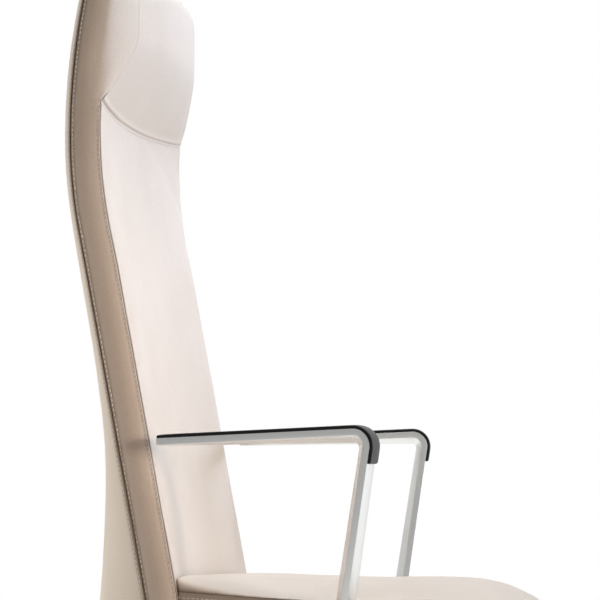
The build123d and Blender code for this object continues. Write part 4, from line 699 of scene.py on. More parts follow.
def swell(piece, held, cap, pressure):
    """Swell a cover over its foam by cloth simulation: held points stay, and others move up to the cap."""
    scene = bpy.context.scene
    group = piece.vertex_groups.new(name="held")
    group.add([int(i) for i in np.flatnonzero(held)], 1.0, "REPLACE")
    cloth = piece.modifiers.new("foam", "CLOTH")
    settings = cloth.settings
    settings.vertex_group_mass = "held"
    settings.use_pressure = True
    settings.uniform_pressure_force = pressure
    settings.effector_weights.gravity = 0
    settings.quality = 5
    settings.mass = 0.3
    settings.tension_stiffness = settings.compression_stiffness = 25
    settings.shear_stiffness = 10
    settings.bending_stiffness = 4
    cloth.point_cache.frame_start, cloth.point_cache.frame_end = 1, CLOTH_STEPS
    for step in range(1, CLOTH_STEPS + 1):
        scene.frame_set(step)
    swollen = piece.evaluated_get(bpy.context.evaluated_depsgraph_get())
    moved = coordinates(swollen.data)
    rest = coordinates(piece.data)
    shift = moved - rest
    reach = np.linalg.norm(shift, axis=1, keepdims=True)
    soft_cap = cap * MM
    shift *= np.where(reach > TINY, soft_cap * np.tanh(reach / soft_cap) / np.maximum(reach, TINY), 0)
    piece.modifiers.remove(cloth)
    piece.vertex_groups.remove(group)
    scene.frame_set(1)
    reshape(piece.data, rest + shift)


def displace(piece, amount):
    """Move each point along its normal by an amount in millimetres."""
    mesh = piece.data
    reshape(mesh, coordinates(mesh) + normals(mesh) * (np.asarray(amount) * MM)[:, None])


def shade_seams(piece, amount):
    """Store the painted shade at each point, darkest in and beside seams, for the leather to darken there."""
    layer = piece.data.attributes.new("seam_shade", "FLOAT", "POINT")
    layer.data.foreach_set("value", np.clip(amount, 0, 1).astype(np.float32))


def subdivide(piece, levels=1):
    """Round a piece's faces."""
    piece.modifiers.new("rounding", "SUBSURF").levels = levels
    piece.modifiers["rounding"].render_levels = levels


def hill(distance, width):
    """A smooth bump of height 1 and the given half width."""
    return np.exp(-(np.asarray(distance, float) / width) ** 2)


def uneven(points, height, per_mm):
    """Slow waves of the leather, a height in millimetres for each point."""
    return np.array([height * noise.noise(Vector(p) * per_mm) for p in points])


def rim_shade(gap, seam, seam_width, line, line_gap, line_width):
    """Painted shade beside a rear seam: the seam itself and the stitched line next to it."""
    return np.maximum(seam * hill(gap, seam_width), line * hill(gap - line_gap, line_width))


def place_piece(piece, body, replaced=()):
    """Ride a finished piece on its body, and hide the parts it stands for."""
    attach(piece, body)
    if replaced:
        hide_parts(*replaced)


# Columns of the back's front sheet, from the middle of the panel to the rear seam
PANEL_EDGE = (15.0, 9.0, 5.0, 2.6, 1.3, 0.6, 0.0)
PANEL_MIDDLE = 20
SIDE_NEAR = (0.6, 1.3, 2.6, 4.0, NEEDLE_GAP, 6.4, 9.0)
SIDE_SHARES = (0.35, 0.7)
FOLD_SHARES = (0.0, 0.25, 0.5, 0.75, 1.0)
BAND_SHARES = (0.3, 0.65)
BAND_NEAR = (9.0, 6.5, 4.5, 3.0, 1.8, 0.8, 0.0)
BAND_STITCHED = 3
FOLD_MIDDLE = len(SIDE_NEAR) + len(SIDE_SHARES) + FOLD_SHARES.index(0.5)
SIDE_COUNT = len(SIDE_NEAR) + len(SIDE_SHARES) + len(FOLD_SHARES) + len(BAND_SHARES) + len(BAND_NEAR)
PANEL_COUNT = PANEL_MIDDLE + len(PANEL_EDGE)
# Where the panel's close columns start, and the shortest side that doesn't squeeze its close columns
PANEL_FLAT_EDGE, SIDE_RUN = 24.0, 24.0
# Rows beside the seam under the headrest, and the spacing of the rows below and above them
HEAD_ROWS = (-9.0, -6.5, -5.2, -4.7, PIPING_LINE, -3.7, -3.2, -2.0, -1.1, -0.5,
             0.0, 0.6, 1.4, 2.2, 3.0, 4.2, 6.5, 10.0)
BACK_STEP, BELOW_HEAD, HEAD_STEP, ABOVE_HEAD = 9.0, 14.0, 8.0, 16.0
# The shell's spacing, rows over a rounded top, and rows that close a cover's lower and upper edge
SHELL_STEP, TURN_ROWS, CLOSING_ROWS = 10.0, 10, 2


def back_corners(z):
    """Front seam, fold and rear seam of the back's side at a height, and the panel's middle depth."""
    side = back_half_width(z)
    rear = rear_seam_y(z) - SEAM_HALF_GAP
    if z < HEAD_SEAM:
        blend = 1.0
        half, front = side, back_front_y(z)
        middle = front + BACK_HOLLOW
    else:
        blend = head_blend(z)
        half = HEAD_HALF_WIDTH + (BACK_HALF_WIDTH - HEAD_HALF_WIDTH) * blend - (BACK_HALF_WIDTH - side)
        front = HEAD_FRONT_Y + HEAD_LEAD * blend
        tuck = HEAD_TUCK * 4 * blend * (1 - blend)
        middle = front + BACK_HOLLOW * blend - HEAD_CROWN * (1 - blend) + tuck
    fold = rear - min(HEAD_BAND - HEAD_BAND_TAPER * blend, FOLD_DEPTH_SHARE * (rear - front))
    fold_x = side + BACK_REAR_FLARE * FOLD_FLARE_SHARE
    return np.array([half, front]), np.array([fold_x, fold]), np.array([side + BACK_REAR_FLARE, rear]), middle


def toward(start, end, distance):
    """A point at a distance from a start towards an end."""
    length = np.linalg.norm(end - start)
    return start + (end - start) * (distance / length if length else 0)


def side_path(z, seam, fold, rear):
    """The back's side at a height, from the front seam over the fold to the rear seam, swollen by foam."""
    front_run, rear_run = np.linalg.norm(fold - seam), np.linalg.norm(rear - fold)
    softer = FOLD_SOFTER * portion(z - HEAD_SEAM, FOLD_LENGTH)
    corner = min(FOLD_RADIUS + softer, FOLD_RUN_SHARE * front_run, FOLD_RUN_SHARE * rear_run)
    into, out = toward(fold, seam, corner), toward(fold, rear, corner)
    near_scale, far_scale = min(1, front_run / SIDE_RUN), min(1, rear_run / SIDE_RUN)
    line = [toward(seam, fold, d * near_scale) for d in SIDE_NEAR]
    first = line[-1]
    line += [first + (into - first) * share for share in SIDE_SHARES]
    line += [into * (1 - t) ** 2 + fold * 2 * t * (1 - t) + out * t * t for t in FOLD_SHARES]
    last = toward(rear, fold, BAND_NEAR[0] * far_scale)
    line += [out + (last - out) * share for share in BAND_SHARES]
    line += [toward(rear, fold, d * far_scale) for d in BAND_NEAR]
    line = np.array(line)
    steps = np.linalg.norm(np.diff(np.vstack([seam, line]), axis=0), axis=1)
    run = np.cumsum(steps)
    heading = np.gradient(line, axis=0)
    heading /= np.maximum(np.linalg.norm(heading, axis=1, keepdims=True), TINY)
    outward = np.column_stack([heading[:, 1], -heading[:, 0]])
    bend = run[FOLD_MIDDLE]
    cheek = np.sin(math.pi * np.clip(run / bend, 0, 1)) * CHEEK_SWELL
    band = np.sin(math.pi * np.clip((run - bend) / (run[-1] - bend), 0, 1)) * HEAD_BAND_SWELL
    head = portion(z - HEAD_SEAM, HEAD_SWELL_RISE)
    swollen = BAND_SWELL * np.sin(math.pi * run / run[-1]) * (1 - head) + (cheek + band) * head
    wider = portion(VALLEY_TOP - z, VALLEY_RISE)
    valley = hill(run[-1] - run, VALLEY_WIDTH + VALLEY_WIDER * wider) * (SEAM_VALLEY + VALLEY_DEEPER * wider)
    return line + outward * (swollen - valley)[:, None]


def back_row(z, closing):
    """One level of the back's leather, from the right rear seam round the panel to the left one."""
    seam, fold, rear, middle = back_corners(z)
    half, front = seam
    xs = np.concatenate([np.linspace(0, half - PANEL_FLAT_EDGE, PANEL_MIDDLE), half - np.array(PANEL_EDGE)])
    share = 1 - (xs / half) ** 2
    ys = front + (middle - front) * share - PANEL_STAND * (1 - hill(half - xs, PANEL_ROLL))
    dip = HEAD_SAG * share * hill(z - HEAD_SEAM, HEAD_SAG_HEIGHT)
    panel = np.column_stack([xs, ys, z - dip])
    side = side_path(z, seam, fold, rear)
    half_row = np.vstack([panel, np.column_stack([side, np.full(len(side), z)])])
    half_row[:, 1] += (rear[1] - half_row[:, 1]) * closing
    mirrored = half_row[:0:-1] * np.array([-1, 1, 1])
    return np.vstack([mirrored, half_row])


def turn_levels(start, top):
    """Heights of the rows over a rounded top edge, closer towards the top."""
    return [start + (top - start) * math.sin(math.pi / 2 * k / TURN_ROWS) for k in range(1, TURN_ROWS + 1)]


def back_levels():
    """Heights of the back's rows and how far each one closes towards the rear seam."""
    low = spread(BACK_BOTTOM, HEAD_SEAM - BELOW_HEAD, BACK_STEP)
    high = spread(HEAD_SEAM + ABOVE_HEAD, HEAD_ROUND_START, HEAD_STEP)
    turn = turn_levels(HEAD_ROUND_START, HEAD_TOP)
    heights = [BACK_BOTTOM, BACK_BOTTOM] + low + [HEAD_SEAM + d for d in HEAD_ROWS] + high + turn
    closing = [1.0, 0.5] + [round_off(z - HEAD_ROUND_START, HEAD_TOP - HEAD_ROUND_START)
                            for z in heights[CLOSING_ROWS:]]
    return heights, closing


def sewn_path(piece, guide):
    """Points of a stitch row laid on a piece's finished surface, with the surface's normals there."""
    tree = BVHTree.FromObject(piece, bpy.context.evaluated_depsgraph_get())
    found = [tree.find_nearest(Vector(p)) for p in guide]
    return np.array([hit[0] for hit in found]), np.array([hit[1] for hit in found])


def stitch_row(piece, guide):
    """Points of the stitches along a guide line on a piece, spaced by the pitch: centre, run and normal."""
    sizes = bpy.context.scene.chair_sizes
    steps = np.linalg.norm(np.diff(guide, axis=0), axis=1)
    run = np.concatenate([[0], np.cumsum(steps)])
    stops = np.arange(sizes.stitch_pitch / 2, run[-1], sizes.stitch_pitch)
    spots = np.column_stack([np.interp(stops, run, guide[:, k]) for k in range(3)])
    spots, faced = sewn_path(piece, spots)
    heading = np.gradient(spots, axis=0)
    heading -= faced * np.sum(heading * faced, axis=1, keepdims=True)
    heading /= np.maximum(np.linalg.norm(heading, axis=1, keepdims=True), TINY)
    return spots, heading, faced


def stitches(name, rows, body):
    """One piece with all the stitches of some rows: short twisted threads that sink at both ends."""
    sizes = bpy.context.scene.chair_sizes
    radius = sizes.thread_diameter / 2
    template = []
    for t in STITCH_RINGS:
        width = radius * math.sqrt(max(1 - STITCH_THIN * t**4, STITCH_TIP))
        lift = radius * (STITCH_LIFT - STITCH_SINK * t**4)
        for k in range(STITCH_SIDES):
            turn = 2 * math.pi * k / STITCH_SIDES
            template.append((t * sizes.stitch_length / 2, math.cos(turn) * width,
                             math.sin(turn) * width + lift))
    template = np.array(template)
    stitch_faces = tube(len(STITCH_RINGS), STITCH_SIDES)
    points, faces = [], []
    for spots, heading, faced in rows:
        across = np.cross(faced, heading)
        for spot, along, aside, out in zip(spots, heading, across, faced):
            start = len(points) * len(template)
            points.append(spot + template[:, :1] * along + template[:, 1:2] * aside + template[:, 2:] * out)
            faces += [[start + v for v in face] for face in stitch_faces]
    piece = mesh_piece(name, np.vstack(points) / MM, faces, finish_of("thread"))
    place_piece(piece, body)


class CHAIR_OT_back(bpy.types.Operator):
    """Sew the back's leather: hollow panel, side band, headrest and its seam"""
    bl_idname = "chair.back"
    bl_label = "Back and headrest"

    def execute(self, context):
        sizes = context.scene.chair_sizes
        heights, closing = back_levels()
        front = np.array([back_row(z, c) for z, c in zip(heights, closing)])
        rear = front.copy()
        rear[:, :, 0] = np.linspace(front[:, 0, 0], front[:, -1, 0], front.shape[1]).T
        rear[:, :, 1] = front[:, :1, 1]
        rear[:, :, 2] = np.array(heights)[:, None]
        piece, index = pillow("back_leather", front, rear, finish_of("leather"))
        rows, columns = index.shape
        count = len(piece.data.vertices)
        middle = columns // 2
        # Signed distance of each column from the front seam, and its distance from the rear seam
        half_gap = [FAR] * PANEL_MIDDLE + list(PANEL_EDGE) + [-d for d in SIDE_NEAR]
        half_gap += [-FAR] * (SIDE_COUNT - len(SIDE_NEAR))
        seam_gap = np.array(half_gap[:0:-1] + half_gap)
        half_rim = [FAR] * (PANEL_COUNT + SIDE_COUNT - len(BAND_NEAR)) + list(BAND_NEAR)
        rim_gap = np.array(half_rim[:0:-1] + half_rim)
        level_gap = np.array(heights) - HEAD_SEAM
        is_panel = np.abs(np.arange(columns) - middle) < PANEL_COUNT
        free = (np.abs(seam_gap) > HELD_GAP) & (rim_gap > HELD_GAP)
        free = free & ((np.abs(level_gap) > HELD_HEIGHT)[:, None] | ~is_panel)
        free[:HELD_ROWS] = free[-HELD_ROWS:] = False
        held = np.ones(count, bool)
        held[index[free]] = False
        swell(piece, held, BACK_SWELL, sizes.foam_pressure)
        # The front seam is a tight groove with a lip and a needle line beside it. It opens at the headrest's
        # corner and turns into a slight ridge above it.
        below = np.clip(-level_gap / SEAM_END, 0, 1)[:, None]
        strength = below + OPENING * hill(level_gap - OPENING_Z, OPENING_HEIGHT)[:, None]
        groove = -sizes.seam_depth / MM * strength * hill(seam_gap, GROOVE_WIDTH)
        lip = LIP * hill(np.abs(seam_gap) - LIP_GAP, LIP_WIDTH) * below
        needle_line = -NEEDLE_DENT * hill(seam_gap + NEEDLE_GAP, NEEDLE_WIDTH) * below
        ridge = RIDGE * hill(seam_gap - RIDGE_GAP, RIDGE_WIDTH) * (1 - below)
        # The seam under the headrest is piped, with a dent at its foot and a needle line below that
        fade = is_panel * (1 - hill(seam_gap, PIPING_END))
        raised = PIPING * hill(level_gap - PIPING_Z, PIPING_WIDTH)
        foot, line = (hill(level_gap - at, PIPING_DENT_WIDTH) for at in (PIPING_FOOT, PIPING_LINE))
        piping = fade * (raised - PIPING_DENT * foot - PIPING_DENT * line)[:, None]
        waves = uneven(front.reshape(-1, 3), *BACK_WAVES)
        amount = np.zeros(count)
        amount[index.ravel()] = (groove + lip + needle_line + ridge + piping).ravel() + waves * free.ravel()
        displace(piece, amount)
        # Painted shade: a dark line in the front seam and its needle line, the rear seam's valley and the
        # stitched line beside it, and the piping's dents
        dark = np.minimum(strength, 1) * hill(seam_gap - SEAM_SHADE_GAP, SEAM_SHADE_WIDTH)
        dark = np.maximum(dark, NEEDLE_SHADE * below * hill(seam_gap + NEEDLE_GAP, NEEDLE_SHADE_WIDTH))
        dark = np.maximum(dark, rim_shade(rim_gap, *BACK_RIM_SHADE))
        dark = np.maximum(dark, fade * (PIPING_SHADE * foot + PIPING_SHADE * line)[:, None])
        shade = np.zeros(count)
        shade[index.ravel()] = dark.ravel()
        shade_seams(piece, shade)
        subdivide(piece)
        place_piece(piece, "back", ("back_cushion", "headrest_cushion"))
        points = coordinates(piece.data)
        sewn = []
        low_rows = (level_gap < 0) & (np.arange(rows) > CLOSING_ROWS)
        for side in (-1, 1):
            by_front = middle + side * (PANEL_COUNT + SIDE_NEAR.index(NEEDLE_GAP))
            by_rear = middle + side * (PANEL_COUNT + SIDE_COUNT - 1 - BAND_STITCHED)
            sewn.append(stitch_row(piece, points[index[low_rows, by_front]]))
            sewn.append(stitch_row(piece, points[index[CLOSING_ROWS:-CLOSING_ROWS, by_rear]]))
        stitches("back_stitches", sewn, "back")
        return {"FINISHED"}


class CHAIR_OT_shell(bpy.types.Operator):
    """Stretch the leather over the back's rear shell"""
    bl_idname = "chair.shell"
    bl_label = "Rear shell"

    def execute(self, context):
        heights = spread(BACK_BOTTOM, SHELL_ROUND_START, SHELL_STEP)
        heights += turn_levels(SHELL_ROUND_START, SHELL_TOP)
        levels = [(BACK_BOTTOM, 0.0), (BACK_BOTTOM, 0.5)] + [(z, 1.0) for z in heights]
        rear, front = [], []
        for z, open_share in levels:
            half = back_half_width(z) + BACK_REAR_FLARE - SHELL_INSET
            seam = rear_seam_y(z) + SEAM_HALF_GAP
            bulge = shell_bulge(z) * open_share + back_seam_y(z) - seam
            power = SHELL_RIM_POWER + SHELL_DEEP_POWER * portion(bulge - SHELL_DEEP, SHELL_DEEP_RANGE)
            waist = SHELL_WAIST * portion(z - SHELL_WAIST_Z, SHELL_WAIST_HEIGHT)
            bulge += SHELL_MORE - SHELL_LESS / max(bulge, SHELL_LESS_FROM) - waist
            bulge = max(bulge - SHELL_TRIM * portion(z - SHELL_TRIM_Z, SHELL_TRIM_HEIGHT), SHELL_LEAST)
            flat_half = half - SHELL_FLAT_EDGE
            xs = np.concatenate([half - SHELL_EDGE, np.linspace(flat_half, -flat_half, SHELL_COLUMNS),
                                 (SHELL_EDGE - half)[::-1]])
            ys = seam + bulge * np.maximum(1 - (xs / half) ** 2, 0) ** power
            xs = xs - np.sign(xs) * SHELL_RIM_IN * hill(half - np.abs(xs), SHELL_RIM_WIDTH)
            rear.append(np.column_stack([xs, ys, np.full(len(xs), z)]))
            flat = np.linspace(xs[0], xs[-1], len(xs))
            front.append(np.column_stack([flat, np.full(len(xs), seam), np.full(len(xs), z)]))
        rear, front = np.array(rear), np.array(front)
        for row in (0, -1):
            rear[row, :, 1] = front[row, :, 1]
        piece, index = pillow("back_shell_leather", rear, front, finish_of("leather"))
        count = len(piece.data.vertices)
        rows, columns = index.shape
        waves = uneven(rear.reshape(-1, 3), *SHELL_WAVES).reshape(rows, columns)
        from_edge = np.minimum(np.arange(columns), np.arange(columns)[::-1])
        amount = np.zeros(count)
        amount[index.ravel()] = (waves * (from_edge > len(SHELL_EDGE))).ravel()
        displace(piece, amount)
        # Painted shade along the shell's rim at the rear seam and its stitched line
        shade = np.zeros(count)
        for column, depth in enumerate(rim_shade(SHELL_EDGE, *SHELL_RIM_SHADE)):
            shade[index[:, column]] = shade[index[:, -1 - column]] = depth
        shade_seams(piece, shade)
        subdivide(piece)
        place_piece(piece, "back", ("back_shell",))
        points = coordinates(piece.data)
        sewn = [stitch_row(piece, points[index[CLOSING_ROWS:-CLOSING_ROWS, column]])
                for column in (SHELL_STITCHED, columns - 1 - SHELL_STITCHED)]
        stitches("back_shell_stitches", sewn, "back")
        return {"FINISHED"}


class CHAIR_OT_seat(bpy.types.Operator):
    """Upholster the seat: crowned top, seam, side band and rounded front"""
    bl_idname = "chair.seat"
    bl_label = "Seat"

    def execute(self, context):
        sizes = context.scene.chair_sizes
        start, stop = (math.asin((y / SEAT_PLAN_FRONT) ** (SEAT_FRONT_POWER / 2))
                       for y in (SEAT_NOSE_START, SEAT_FRONT))
        levels = [SEAT_PLAN_FRONT * math.sin(t) ** (2 / SEAT_FRONT_POWER)
                  for t in np.linspace(stop, start, SEAT_NOSE_ROWS)]
        levels += spread(SEAT_NOSE_START + SEAT_STEP, SEAT_REAR - SEAT_REAR_ROUND - SEAT_LAST_STEP, SEAT_STEP)
        levels += [SEAT_REAR - SEAT_REAR_ROUND * (1 - math.sin(math.pi / 2 * k / SEAT_TURN_ROWS))
                   for k in range(SEAT_TURN_ROWS + 1)]
        shares = np.concatenate([np.linspace(0, SEAT_FLAT_SHARE, SEAT_COLUMNS), SEAT_EDGE_SHARES])
        shares = np.concatenate([-shares[:0:-1], shares])
        top, lean_rows = [], []
        for y in levels:
            crown = seat_crown_z(y)
            drop = min(SEAT_CROWN, (crown - SEAT_BOTTOM) / SEAT_CROWN_PARTS)
            height = (crown - SEAT_BOTTOM) / SEAT_THICKNESS
            xs = shares * (seat_half_width(y) - SEAT_TOP_INSET * height)
            zs = crown - drop * shares**2 - SEAT_FOAM_ROOM + corner_puff(xs, y)
            lean = math.tan(BACK_ANGLE) * max(y / SEAT_REAR, 0) ** 2
            ys = y + (zs - (SEAT_BOTTOM + SEAT_TOP) / 2) * lean
            top.append(np.column_stack([xs, ys, zs]))
            lean_rows.append(lean)
        top = np.array(top)
        rows, columns = top.shape[:2]
        points = [top.reshape(-1, 3)]
        index = np.arange(rows * columns).reshape(rows, columns)
        rim = ([(0, j) for j in range(columns)] + [(i, columns - 1) for i in range(1, rows)]
               + [(rows - 1, j) for j in range(columns - 2, -1, -1)]
               + [(i, 0) for i in range(rows - 2, 0, -1)])
        rim_index = np.array([index[at] for at in rim])
        edge = np.array([top[at] for at in rim])
        ahead = np.roll(edge, -1, axis=0) - np.roll(edge, 1, axis=0)
        outward = np.column_stack([ahead[:, 1], -ahead[:, 0], np.zeros(len(rim))])
        outward /= np.linalg.norm(outward, axis=1, keepdims=True)
        tall = edge[:, 2] - SEAT_BOTTOM
        share_tall = tall / SEAT_THICKNESS
        lean = np.array([lean_rows[i] for i, _ in rim])
        faces = [[int(index[i, j]), int(index[i, j + 1]), int(index[i + 1, j + 1]), int(index[i + 1, j])]
                 for i in range(rows - 1) for j in range(columns - 1)]
        last, made = rim_index, rows * columns
        band_index = []
        for t in SEAT_BANDS:
            drawn_in = SEAT_OVERHANG * (1 - math.exp(-t / OVERHANG_TURN))
            belly = (-drawn_in + BELLY_OUT * t - BELLY_IN * t * t) * share_tall
            ring = edge + outward * belly[:, None]
            ring[:, 2] = edge[:, 2] - tall * t
            ring[:, 1] -= tall * t * lean
            points.append(ring)
            current = made + np.arange(len(rim))
            made += len(rim)
            for k in range(len(rim)):
                after = (k + 1) % len(rim)
                faces.append([int(last[k]), int(current[k]), int(current[after]), int(last[after])])
            band_index.append(current)
            last = current
        # Underside: a net of quads between the last ring's four sides
        foot = {at: (ring[k], int(last[k])) for k, at in enumerate(rim)}
        under = np.zeros((rows, columns), int)
        inner_points = []
        for i in range(rows):
            for j in range(columns):
                if (i, j) in foot:
                    under[i, j] = foot[(i, j)][1]
                    continue
                u, v = j / (columns - 1), i / (rows - 1)
                west, east = foot[(i, 0)][0], foot[(i, columns - 1)][0]
                near, far = foot[(0, j)][0], foot[(rows - 1, j)][0]
                corners = ((1 - u) * (1 - v) * foot[(0, 0)][0] + u * (1 - v) * foot[(0, columns - 1)][0]
                           + (1 - u) * v * foot[(rows - 1, 0)][0] + u * v * foot[(rows - 1, columns - 1)][0])
                inner_points.append((1 - u) * west + u * east + (1 - v) * near + v * far - corners)
                under[i, j] = made
                made += 1
        points.append(np.array(inner_points))
        faces += net(under)
        points = np.vstack(points)
        piece = mesh_piece("seat_leather", points, faces, finish_of("leather"))
        count = len(points)
        # Distance of the points on the top and on the side band from the seam between them
        flat = top.reshape(-1, 3)
        gap = np.full(count, FAR)
        gap[:rows * columns] = np.min(np.linalg.norm(flat[:, None, :2] - edge[None, :, :2], axis=2), axis=1)
        for t, ring_index in zip(SEAT_BANDS, band_index):
            gap[ring_index] = tall * t
        is_under, is_band = np.zeros(count, bool), np.zeros(count, bool)
        is_under[under.ravel()] = True
        is_under[np.concatenate(band_index[-2:])] = True
        is_band[np.concatenate(band_index)] = True
        swell(piece, is_under | (gap < HELD_GAP), SEAT_SWELL, sizes.foam_pressure)
        turn = np.arctan2(points[:, 1], points[:, 0])
        groove = -sizes.seam_depth / MM * hill(gap, SEAT_GROOVE_WIDTH)
        lip = SEAT_LIP * hill(gap - SEAT_LIP_GAP, SEAT_LIP_WIDTH)
        pucker = PUCKER * np.sin(turn * PUCKERS + PUCKER_DRIFT * np.sin(turn * PUCKER_DRIFTS))
        pucker *= hill(gap - PUCKER_GAP, PUCKER_WIDTH)
        wrinkle = WRINKLE * np.sin(gap * WRINKLE_TURN + WRINKLE_DRIFT * np.sin(turn * WRINKLE_DRIFTS))
        wrinkle *= hill(gap - WRINKLE_GAP, WRINKLE_WIDTH) * is_band
        waves = uneven(points, *SEAT_WAVES) * (gap > SEAT_WAVE_GAP)
        displace(piece, (groove + lip + pucker + wrinkle + waves) * ~is_under)
        # Painted shade: a dark line in the seam, and shade down the side band below it
        dark = np.maximum(SEAT_SEAM_SHADE * hill(gap, SEAT_SEAM_SHADE_WIDTH),
                          SEAT_BAND_SHADE * is_band * hill(gap, SEAT_BAND_SHADE_WIDTH))
        shade_seams(piece, dark * ~is_under)
        subdivide(piece)
        place_piece(piece, "seat", ("seat_cushion",))
        row = band_index[SEAT_STITCHED_BAND]
        line = coordinates(piece.data)[np.concatenate([row, row[:1]])]
        stitches("seat_stitches", [stitch_row(piece, line)], "seat")
        return {"FINISHED"}


def arm_point(along, up, across):
    """A point in the right armrest's own plane, in the chair's frame."""
    forward = np.array([-math.sin(ARM_TOE), -math.cos(ARM_TOE), 0])
    outward = np.array([-math.cos(ARM_TOE), math.sin(ARM_TOE), 0])
    return ARM_CORNER + forward * along + np.array([0, 0, up]) + outward * across


def pad_path():
    """Centre line of the pad's underside and its outward direction, from the rear tip over the corner."""
    back = np.array([-math.cos(ARM_SLOPE), -math.sin(ARM_SLOPE)])
    down = np.array([-math.sin(ARM_LEG_SLOPE), -math.cos(ARM_LEG_SLOPE)])
    up = np.array([-math.sin(ARM_SLOPE), math.cos(ARM_SLOPE)])
    ahead = np.array([math.cos(ARM_LEG_SLOPE), -math.sin(ARM_LEG_SLOPE)])
    turn = math.acos(float(np.dot(up, ahead)))
    tangent = ARM_CORNER_RADIUS * math.tan(turn / 2)
    centre = back * tangent - up * ARM_CORNER_RADIUS
    path = [(back * d, up) for d in spread(ARM_LENGTH, tangent, PAD_STEP)]
    for k in range(1, PAD_TURNS):
        share = k / PAD_TURNS
        mix = (up * math.sin((1 - share) * turn) + ahead * math.sin(share * turn)) / math.sin(turn)
        path.append((centre + mix * ARM_CORNER_RADIUS, mix))
    path += [(down * d, ahead) for d in spread(tangent, PAD_DROP, PAD_LEG_STEP)]
    return path


class CHAIR_OT_arms(bpy.types.Operator):
    """Round the armrests' metal edges and lay the soft pads over them"""
    bl_idname = "chair.arms"
    bl_label = "Armrests"

    # Points closer than this, in metres, are one; then the angles of a flat, of an edge and of a crease
    WELD, FLAT, EDGE, CREASE = 2e-6, math.radians(0.5), math.radians(18), math.radians(35)

    def execute(self, context):
        sizes = context.scene.chair_sizes
        for side in ("right", "left"):
            self.metal("arm_" + side, sizes.metal_edge)
            self.pad(side, 1 if side == "right" else -1)
        return {"FINISHED"}

    def metal(self, node, edge):
        """A copy of the bar with its edges rounded as by polishing."""
        mesh = frame["nodes"][node].data.copy()
        mesh.name = node + "_bar"
        work = bmesh.new()
        work.from_mesh(mesh)
        bmesh.ops.remove_doubles(work, verts=work.verts, dist=self.WELD)
        bmesh.ops.dissolve_limit(work, angle_limit=self.FLAT, verts=work.verts, edges=work.edges)
        sharp = [e for e in work.edges if e.is_manifold and e.calc_face_angle(0) > self.EDGE]
        bmesh.ops.bevel(work, geom=sharp, offset=edge, segments=2, profile=0.5, affect="EDGES",
                        clamp_overlap=True)
        work.to_mesh(mesh)
        work.free()
        mesh.shade_smooth()
        mesh.set_sharp_from_angle(angle=self.CREASE)
        mesh.materials.clear()
        mesh.materials.append(finish_of("polished_aluminium"))
        piece = bpy.data.objects.new(node + "_bar", mesh)
        bpy.context.scene.collection.objects.link(piece)
        place_piece(piece, "seat", (node,))

    def pad(self, side, sign):
        """The soft strip over the bar's top and front corner, rounded along its rims and at both ends."""
        half, thick, edge = ARM_WIDTH / 2, PAD_THICKNESS, PAD_EDGE
        top, flat = half * PAD_TOP_SHARE, half * PAD_FLAT_SHARE
        rim = [(PAD_FOOT, 0.0), (0.0, PAD_LIFT)]
        rim += [(edge * inward, thick - edge * down) for inward, down in PAD_CURVE]
        section = [(x - half, height) for x, height in rim]
        section += [(x, thick + PAD_CROWN * (1 - (x / half) ** 2))
                    for x in np.linspace(-top, top, PAD_TOP_COLUMNS)]
        section += [(half - x, height) for x, height in rim[::-1]]
        section += [(x, 0.0) for x in np.linspace(flat, -flat, PAD_FLAT_COLUMNS)]
        path = pad_path()
        (rear_tip, rear_up), (front_tip, front_up) = path[0], path[-1]
        into_rear = (path[1][0] - rear_tip) / PAD_STEP
        into_front = (path[-2][0] - front_tip) / np.linalg.norm(front_tip - path[-2][0])
        rings = [(rear_tip + into_rear * d, rear_up, tall, wide) for d, tall, wide in PAD_ENDS]
        rings += [(spot, outward, 1.0, 1.0) for spot, outward in path[1:-1]]
        rings += [(front_tip + into_front * d, front_up, tall, wide) for d, tall, wide in PAD_ENDS[::-1]]
        points = []
        for at, outward, tall, wide in rings:
            for across, height in section:
                spot = at + outward * (PAD_GAP + height * tall)
                points.append(arm_point(spot[0], spot[1], across * wide) * np.array([sign, 1, 1]))
        faces = tube(len(rings), len(section))
        piece = mesh_piece("arm_pad_" + side + "_skin", points, faces, finish_of("soft_pad"))
        subdivide(piece, 2)
        place_piece(piece, "seat", ("arm_pad_" + side,))


class CHAIR_OT_hardware(bpy.types.Operator):
    """Give the base, casters, lift, mechanism and fasteners their finishes"""
    bl_idname = "chair.hardware"
    bl_label = "Base and mechanism"

    def execute(self, context):
        for row in frame["record"]["subparts"]:
            node = frame["nodes"][row["node"]]
            if row["material_slot"] in MAKERS:
                node.data.materials.clear()
                node.data.materials.append(finish_of(row["material_slot"]))
        return {"FINISHED"}


